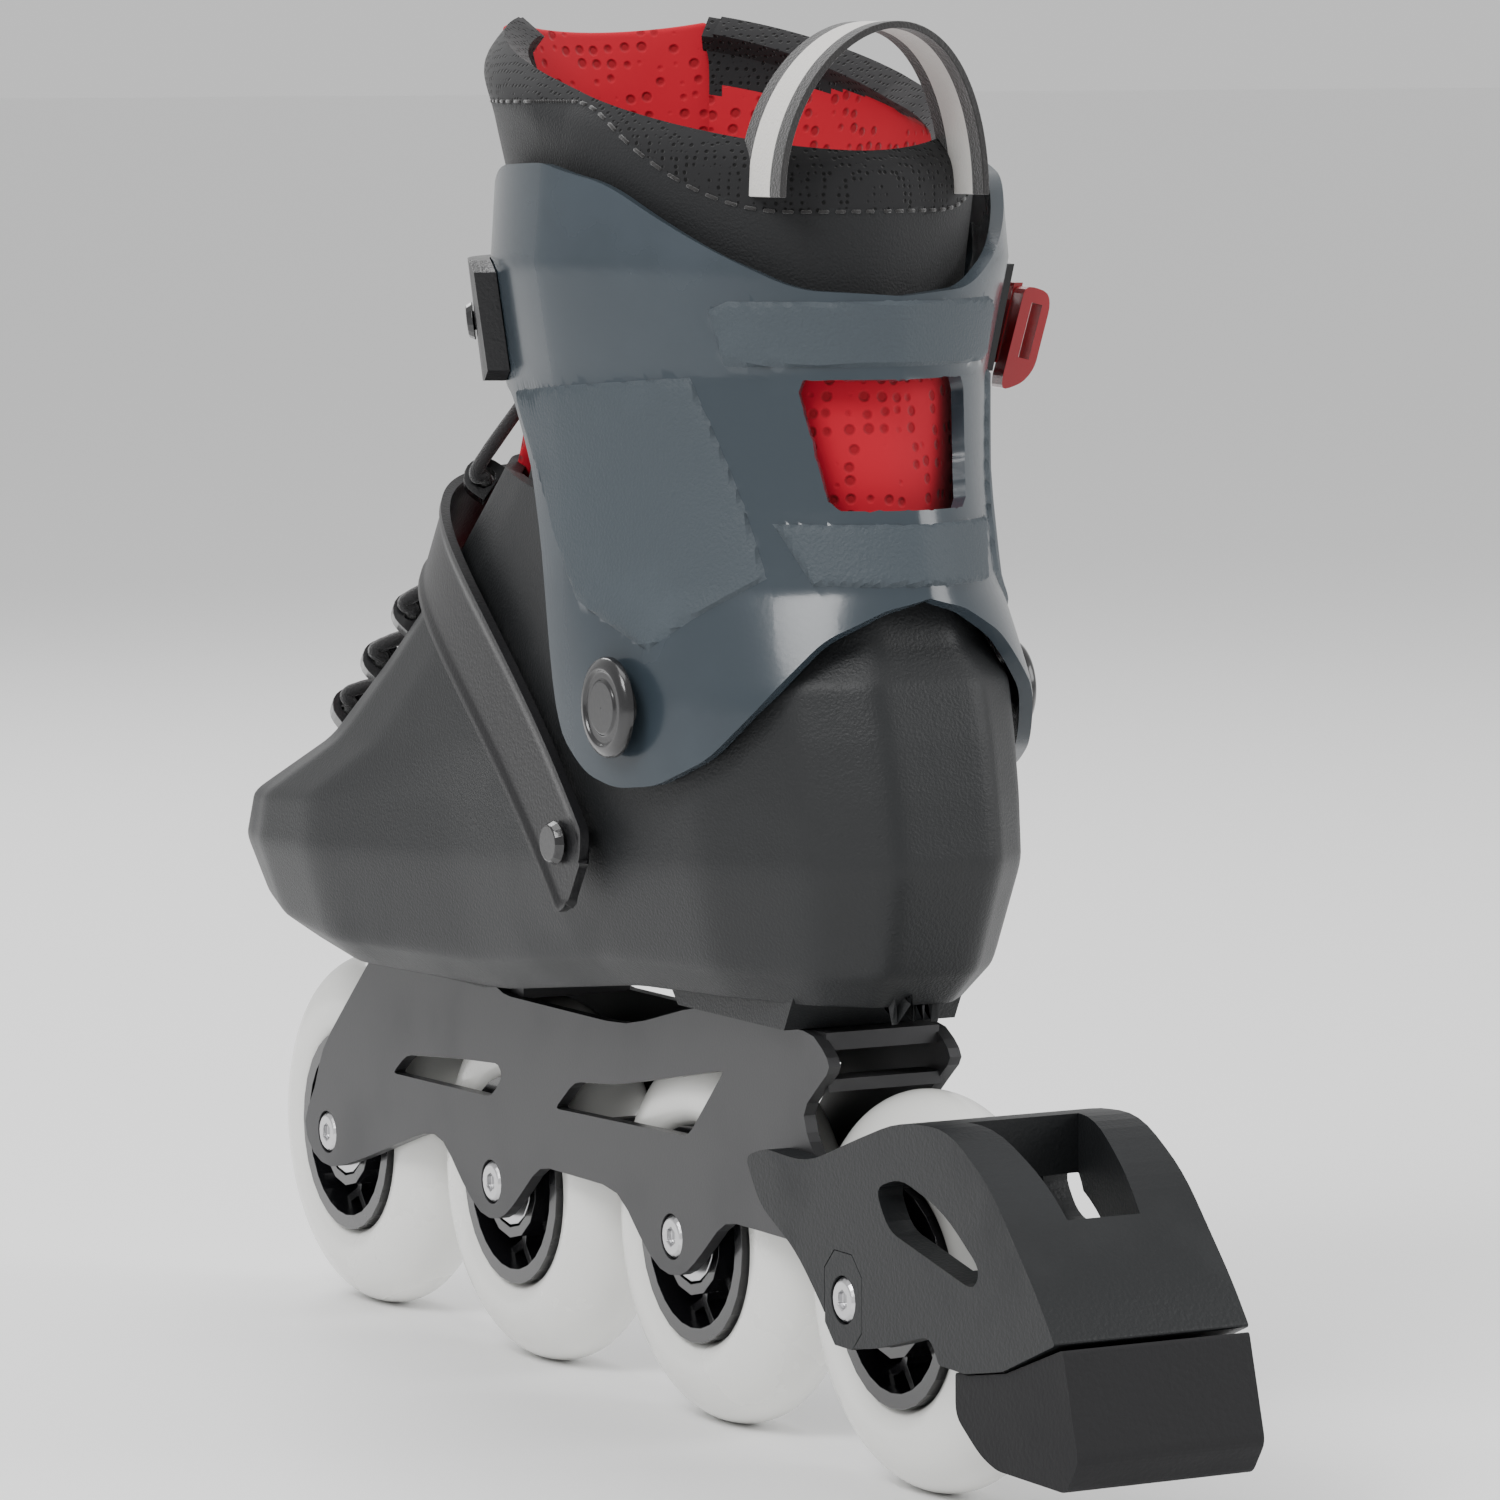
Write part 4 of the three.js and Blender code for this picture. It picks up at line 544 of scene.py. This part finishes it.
# ---------------------------------------------------------------- cuff
CUFF_BACK = [(150, 147.5), (175, 147), (199, 139.8), (218, 133.8), (247, 127.8), (270, 127.8), (296, 125)]
CUFF_HALF = [(150, 50.5), (175, 50.5), (205, 50.2), (225, 50.5), (247, 53), (272, 57), (296, 55)]
CUFF_POWER = [(178, 2.1), (200, 1.68), (247, 1.6)]
CUFF_TOP = [(0, 265), (28, 266.5), (45, 276), (66, 290), (88, 294.5), (112, 293.5), (128, 287), (140, 281)]
CUFF_BOTTOM = [(0, 199), (14, 196.5), (28, 190), (42, 176), (54, 163), (66, 156), (76, 154.5), (84, 157),
               (91, 165), (95, 178), (98, 200), (102, 219), (107, 232), (113, 241), (140, 247)]
CUFF_FRONT = 75
CUFF_EDGE = 140


def cuff_point(degrees, z, offset=0.0):
    """Point of the cuff's outer face: angle 0 is the back, +90 the medial side, 180 the front."""
    degrees = degrees - 360 if degrees > 180 else degrees
    side = -1 if degrees < 0 else 1
    angle = math.radians(abs(degrees))
    half = along(CUFF_HALF, z) + (3 * clamp((z - 247) / 25) if side < 0 else 0) + offset
    if angle <= math.pi / 2:
        x, y = superellipse(angle, half, along(CUFF_BACK, z) - ANKLE_Y + offset, along(CUFF_POWER, z))
        return (side * x, ANKLE_Y + y, z)
    return (side * half * math.sin(angle), ANKLE_Y + (CUFF_FRONT + offset) * math.cos(angle), z)


def cuff_face(u, v):
    degrees = lerp(-CUFF_EDGE, CUFF_EDGE, u)
    low_edge = eased(CUFF_BOTTOM, abs(degrees), 2.5)
    high_edge = eased(CUFF_TOP, abs(degrees), 5)
    corner = 6 * clamp((abs(degrees) - 134) / 6) ** 2
    return cuff_point(degrees, lerp(low_edge + corner, high_edge - corner, v))


def on_back(p):
    return p.y > ANKLE_Y + 20


SIDE_PANEL = [(36, 242), (99, 247), (118, 203), (93, 186), (66, 196)]
REAR_WINDOW = [(-20, 246.7), (20, 246.7), (21, 244), (17.5, 220), (15.5, 218), (-15.5, 218), (-17.5, 220),
               (-21, 244)]
UPPER_BAR = [(-33, 249.5), (33, 249.5), (36, 262), (33, 264), (-33, 264), (-36, 262)]
LOWER_BAR = [(-22, 201.5), (22, 201.5), (27, 215), (-27, 215)]


def make_cuff():
    bm = draped_grid(220, 64, cuff_face)
    cut_out(bm, REAR_WINDOW, (0, 2), on_back)
    for side in (1, -1):
        raise_panel(bm, SIDE_PANEL, (1, 2), lambda p: p.x * side > 20, 0.8)
    for bar in (UPPER_BAR, LOWER_BAR):
        raise_panel(bm, bar, (0, 2), on_back, 0.9)
    cuff = piece("cuff_shape", bm, "cuff", ["cuff_plastic", "cuff_matt"], ["cuff"])
    wall(cuff, 3)
    soften(cuff, 0.7, 38, 3)


make_cuff()


def pivot_profile(reach):
    """Cap of an ankle pivot with a shallow dish and a raised middle, on its shank."""
    foot = 50.9
    return [(0.01, reach), (6, reach), (6, foot), (11.4, foot), (11.4, foot + 1.2), (10.9, foot + 2.1),
            (9.6, foot + 2.8), (8.6, foot + 2.8), (8.1, foot + 2.2), (6.4, foot + 2.2),
            (5.9, foot + 2.7), (0.01, foot + 2.7)]


for name, side in (("medial", 1), ("lateral", -1)):
    profile = [(r, side * x) for r, x in pivot_profile(37.6)]
    cap = piece(f"ankle_cap_{name}", turned(profile, (0, 85, 173), 72), "boot", ["black_trim"],
                [f"ankle_pivot_{name}"])
    soften(cap, 0.25, 40)


# ---------------------------------------------------------------- straps
def strap_lift(t):
    """Height of the strap over the cuff, low in the anchor and high over the buckle's base."""
    return lerp(1.6, 3.1, smoothstep(t, 0.15, 0.5))


def cuff_strap_face(u, v):
    """Outer face of the cuff's strap, round the front from the medial anchor to the lateral buckle."""
    lift = strap_lift(u)
    half = 9.5 - 4 * max(0, u * 12 - 11) ** 2 - smoothstep(u, 0.6, 0.8)
    centre = 258 - 0.28 * (lift - 1.6)
    teeth = 0.0
    if 0.5 < u < 0.97 and 0.2 < v < 0.8:
        teeth = 0.7 * (1 - (u * 52) % 1)
    height = lift + 2.4 - 0.7 + teeth * (u > 0.5) + 0.7 * (u <= 0.5)
    return cuff_point(lerp(146, 276, u), centre + (v * 2 - 1) * half, height)


def make_cuff_strap():
    strap = piece("cuff_strap_shape", draped_grid(312, 10, cuff_strap_face), "cuff", ["strap_plastic"],
                  ["cuff_strap"])
    wall(strap, 1.7)
    soften(strap, 0.4, 40)


make_cuff_strap()

INSTEP_Y, INSTEP_Z = 58, 140
INSTEP_PITCH = math.radians(33)
STRAP_AXIS = Vector((0, -math.cos(INSTEP_PITCH), math.sin(INSTEP_PITCH)))
STRAP_NORMAL = Vector((1, 0, 0)).cross(STRAP_AXIS)


def arch_point(degrees, offset, across):
    """Arch over the instep: angle 0 is the medial screw, 180 the lateral one; it bows up and back."""
    span = 46.2 + 2.3 * (1 - smoothstep(degrees, 60, 120))
    place = Vector((0, INSTEP_Y, INSTEP_Z))
    if degrees < 0:
        return place + Vector((span + offset, 0, 0)) + STRAP_AXIS * degrees + STRAP_NORMAL * (
            across - 32 * (degrees / 125))
    angle = math.radians(degrees)
    power = 2 / 3.4
    s = max(math.sin(angle), 0) ** power
    c = math.copysign(abs(math.cos(angle)) ** power, math.cos(angle))
    return (place + Vector(((span + offset) * c, 0, 0)) + STRAP_AXIS * ((125 + offset) * s)
            + STRAP_NORMAL * (across - 32 * s * (1 - s)))


def instep_half(degrees):
    foot = 5 * max(0, (-7 - degrees) / 4) ** 2
    tip = 4 * max(0, (degrees - 155) / 5) ** 2
    return lerp(12, 9.5, smoothstep(degrees, 100, 122)) - foot - tip


def instep_face(u, v):
    degrees = lerp(-11, 160, u)
    lift = 2.8 * smoothstep(degrees, 50, 125)
    rim = 0.0 if degrees > 108 else 0.6 * smoothstep(abs(v - 0.5), 0.36, 0.42)
    teeth = 0.7 * (1 - (u * 92) % 1) if 122 < degrees < 156 and 0.2 < v < 0.8 else 0.0
    return arch_point(degrees, lift + 2.4 + rim + teeth, (v * 2 - 1) * instep_half(degrees))


def make_instep_strap():
    strap = piece("instep_strap_shape", draped_grid(368, 24, instep_face), "boot", ["strap_plastic"],
                  ["instep_strap"])
    wall(strap, 2.2)
    soften(strap, 0.5, 40)


make_instep_strap()


# ---------------------------------------------------------------- liner, tongue, footbed
LINER_INSET = 5.5
TONGUE_PATH = [Vector(p) for p in ((-106, 146.5), (-84, 164.5), (-48, 191), (-17.8, 219.5), (-7.5, 250),
                                   (-11, 285), (-21, 324))]


def liner_ring(at, u, inset=0.0):
    """Ring of the liner's outer face; at counts the levels of the boot, then those of the collar."""
    def ring(k):
        if k < 2:
            return Vector(outline_point(level_at(SHELL_LEVELS, k), LINER_INSET + inset, u, rise=8 - 2 * k))
        if k < 8:
            drop = -0.6 * (LINER_INSET + inset) if k > 2 else 0
            return Vector(outline_point(level_at(SHELL_LEVELS, k), LINER_INSET + inset, u, drop=drop))
        return Vector(outline_point(level_at(COLLAR_LEVELS, k - 8), inset, u))
    rings = [ring(k) for k in range(13)]
    return through(rings, at)


def liner_face(u, v):
    return liner_ring(12 * v, u)


def tongue_normal(at):
    run = through(TONGUE_PATH, at + 0.05) - through(TONGUE_PATH, at - 0.05)
    return Vector((-run.y, run.x)).normalized()


def seam_height(y):
    """Height of the seam between the liner's upper and its mesh collar."""
    return lerp(283.6, 308, smoothstep(-y, -112, -60))


def make_liner():
    bm = draped_grid(120, 96, liner_face)
    room = []
    for k in range(len(TONGUE_PATH)):
        spot = TONGUE_PATH[k] - tongue_normal(k) * 15.5
        room.append((spot.x, spot.y))
    cut_out(bm, [(-125, 118), *room, (-30, 360), (-125, 360)], (1, 2), lambda p: abs(p.x) < 26)
    for face in bm.faces:
        centre = millimetres(face.calc_center_median())
        face.material_index = 1 if centre.z > seam_height(centre.y) else 0
        if centre.y > 95 and abs(centre.x) < 34 and centre.z < 262:
            face.material_index = 2
    finishes = ["liner_fabric", "collar_mesh", "red_mesh", "collar_mesh"]
    liner = piece("liner_shape", bm, "boot", finishes, ["liner"])
    wall(liner, 7)
    liner.modifiers["wall"].material_offset = 2
    roll_edges(liner, 2.6, 4)
    return liner


liner = make_liner()


def seam_point(u):
    """Place on the liner's outer face on the seam."""
    low_end, high_end = 8.0, 12.0
    for _ in range(14):
        middle = (low_end + high_end) / 2
        spot = liner_ring(middle, u)
        if spot.z < seam_height(spot.y):
            low_end = middle
        else:
            high_end = middle
    return liner_ring(low_end, u)


def make_stitching():
    """Thread of the collar's seam, one short bar for each stitch."""
    bm = bmesh.new()
    per_side, stitch = 42, 0.0052
    for k in range(2 * per_side):
        u = lerp(0.004, 0.36, (k % per_side) / per_side)
        ends = [seam_point(u + step if k < per_side else 1 - u - step) for step in (0, stitch)]
        middle, run = (ends[0] + ends[1]) / 2, ends[1] - ends[0]
        turn = run.to_track_quat("X", "Z").to_matrix().to_4x4()
        size = Matrix.Diagonal((run.length * MM, 0.9 * MM, 0.8 * MM, 1))
        bmesh.ops.create_cube(bm, size=1, matrix=Matrix.Translation(metres(middle)) @ turn @ size)
    bmesh.ops.bevel(bm, geom=bm.edges[:], offset=0.2 * MM, offset_type="OFFSET", affect="EDGES", segments=1,
                    profile=0.5, material=-1)
    return piece("collar_stitching", bm, "boot", ["webbing"])


make_stitching()


def tongue_face(u, v):
    at = 6 * v
    x = lerp(-25, 25, u)
    drop = 38 - math.sqrt(38 ** 2 - x * x)
    spot = through(TONGUE_PATH, at) - tongue_normal(at) * (drop + 0.4)
    return (x, spot.x, spot.y)


def make_tongue():
    tongue = piece("tongue_shape", draped_grid(28, 80, tongue_face), "boot", ["red_mesh"], ["tongue"])
    wall(tongue, 4.6)
    roll_edges(tongue, 1.8, 3)
    return tongue


make_tongue()


def footbed_face(u, v):
    x, y, z = outline_point(level_at(SHELL_LEVELS, 0), 13.5, u, rise=14)
    middle = outline_point(level_at(SHELL_LEVELS, 0), 13.5, 1 - u)[0]
    return (lerp((x + middle) / 2, x, v), y, z)


footbed = piece("footbed_shape", draped_grid(96, 10, footbed_face), "boot", ["red_mesh"], ["footbed"])
wall(footbed, 2.8)


# ---------------------------------------------------------------- pull loop
def loop_face(u, v):
    angle = math.pi * u
    rise, half = 38.6, 26.6
    height = 287 + rise * math.sin(angle)
    return (half * math.cos(angle), 120.5 + (v - 1) * 20 + 6 * math.sin(angle) ** 2, height)


def make_pull_loop():
    bm = draped_grid(72, 16, loop_face)
    for face in bm.faces:
        centre = millimetres(face.calc_center_median())
        share = (centre.y - 100.5 - 6 * clamp((centre.z - 287) / 38.6) ** 2) / 20
        face.material_index = 1 if 0.22 < share < 0.78 else 0
    loop = piece("pull_loop_shape", bm, "boot", ["webbing", "stripe"], ["pull_loop"])
    wall(loop, 1.6)
    soften(loop, 0.3, 50)


make_pull_loop()


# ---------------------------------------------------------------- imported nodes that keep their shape
CARRIED = {
    "hub_plastic": [f"hub_{n}" for n in range(1, 5)],
    "steel": [f"{part}_{n}" for n in range(1, 5)
              for part in ("axle", "bearing_medial", "bearing_lateral", "spacer")]
    + ["frame_bolt_front", "frame_bolt_rear", "cuff_lever_pin", "instep_lever_pin"],
    "frame_metal": ["frame"],
    "brake_plastic": ["brake_arm", "brake_insert_medial", "brake_insert_lateral"],
    "brake_rubber": ["brake_pad"],
    "lever_plastic": ["cuff_lever", "instep_lever"],
    "strap_plastic": ["strap_anchor"],
    "black_trim": ["anchor_screw", "instep_screw_medial", "instep_screw_lateral", "cuff_buckle_base",
                   "instep_buckle_base"]
    + [f"lace_hook_{side}_{n}" for side in ("medial", "lateral") for n in range(1, 5)],
}
EDGE = {"frame": 0.8, "brake_arm": 1.0, "brake_pad": 0.8, "strap_anchor": 0.8}
for finish, names in CARRIED.items():
    for name in names:
        node = bpy.data.objects[name]
        for material_slot in node.material_slots:
            material_slot.material = FINISH[finish]
        soften(node, EDGE.get(name, 0.3), 30, weld=True)


# ---------------------------------------------------------------- lace
LACE_ROUTE = [
    (18, -17, 241), (32.9, -18.7, 221.5), (31, -19.6, 219), (29, -24.1, 217.4),
    (28.6, -28, 218), (11.8, -34.2, 212.8), (0, -43.6, 201), (-11.8, -52.9, 195),
    (-32, -61.8, 180.7), (-30.1, -63.1, 178.5), (-28.2, -67.9, 177.3), (-28.2, -71.6, 178.1),
    (-11.8, -73.1, 179.2), (0, -75.4, 177), (11.8, -77.7, 179.5), (29.4, -82.2, 174.2),
    (28.2, -83.3, 171.2), (26.7, -87.9, 169.3), (26.3, -91.8, 170.3), (11.8, -93.2, 168.5),
    (0, -95.4, 162.7), (-11.8, -97.6, 160.1), (-27.5, -101.1, 155.5), (-27, -102.8, 152.3),
    (-26.2, -107.6, 150.7), (-25.8, -111.3, 152.3), (0, -113.6, 156.4), (25, -112, 156.5),
    (25.8, -108.1, 155.6), (27, -103.6, 158), (27.6, -102.8, 161.5), (11.8, -97.7, 165.4),
    (0, -95.4, 166.6), (-11.8, -93.2, 163.5), (-27.1, -91.7, 163.4), (-27.2, -87.9, 162.5),
    (-29, -83.2, 163.9), (-30.8, -82, 166.3), (-11.8, -77.7, 175.4), (0, -75.5, 180.8),
    (11.8, -73.3, 182.7), (27.2, -71.9, 183.3), (27.7, -68, 182.4), (29.2, -63.4, 184.4),
    (30.5, -62.4, 187.4), (11.8, -52.9, 197.4), (0, -43.5, 205), (-11.8, -34.1, 211.6),
    (-28.8, -27.8, 216.7), (-29, -24, 216), (-31.2, -19.4, 217.4), (-33.3, -18.4, 219.4),
    (-18, -17, 241),
]


def braided_lace(radius=1.7, sides=12, step=0.9):
    """Round lace along its route, its surface waved by the braid."""
    points = [Vector(p) for p in LACE_ROUTE]
    route = [through(points, k / 12) for k in range(12 * (len(points) - 1) + 1)]
    bm = bmesh.new()
    rings = []
    side = Vector((1, 0, 0))
    travelled = 0.0
    for k, here in enumerate(route):
        way = (route[min(k + 1, len(route) - 1)] - route[max(k - 1, 0)]).normalized()
        travelled += (here - route[max(k - 1, 0)]).length
        side = (side - way * side.dot(way)).normalized()
        other = way.cross(side)
        ring = []
        for s in range(sides):
            angle = 2 * math.pi * s / sides
            strands = math.cos(3 * angle + travelled / step) * math.cos(3 * angle - travelled / step)
            swell = radius * (1 + 0.05 * strands)
            spot = here + side * swell * math.cos(angle) + other * swell * math.sin(angle)
            ring.append(bm.verts.new(metres(spot)))
        rings.append([bm.edges.new(pair) for pair in zip(ring, ring[1:] + ring[:1])])
    for first, second in zip(rings, rings[1:]):
        bmesh.ops.bridge_loops(bm, edges=first + second)
    bmesh.ops.holes_fill(bm, edges=rings[0] + rings[-1], sides=sides)
    bmesh.ops.recalc_face_normals(bm, faces=bm.faces)
    return bm


piece("lace_shape", braided_lace(), "boot", ["lace_cord"], ["lace"])


# ---------------------------------------------------------------- floor and light
def add_floor():
    bm = bmesh.new()
    bmesh.ops.create_grid(bm, x_segments=1, y_segments=1, size=60)
    mesh = bpy.data.meshes.new("floor")
    bm.to_mesh(mesh)
    bm.free()
    pale = bpy.data.materials.new("pale_floor")
    pale.use_nodes = True
    shader = pale.node_tree.nodes["Principled BSDF"]
    shader.inputs["Base Color"].default_value = (0.92, 0.92, 0.92, 1)
    shader.inputs["Roughness"].default_value = 0.55
    mesh.materials.append(pale)
    floor = bpy.data.objects.new("floor", mesh)
    bpy.context.scene.collection.objects.link(floor)


def add_light(name, place, size, watts):
    data = bpy.data.lights.new(name, "AREA")
    data.size = size
    data.energy = watts
    lamp = bpy.data.objects.new(name, data)
    bpy.context.scene.collection.objects.link(lamp)
    lamp.location = place
    lamp.rotation_euler = (Vector((0, 0, 0.15)) - Vector(place)).to_track_quat("-Z", "Y").to_euler()


def add_sky(strength):
    world = bpy.data.worlds.new("studio")
    world.use_nodes = True
    background = world.node_tree.nodes["Background"]
    background.inputs["Color"].default_value = (1, 1, 1, 1)
    background.inputs["Strength"].default_value = strength
    bpy.context.scene.world = world


add_floor()
add_light("key", (1.3, 0.6, 1.5), 0.8, 26)
add_light("fill", (-1.4, 1.0, 0.9), 0.8, 12)
add_light("back", (-0.2, -1.6, 1.4), 0.8, 16)
add_light("top", (0.1, 0.1, 1.9), 1.2, 14)
add_sky(0.75)
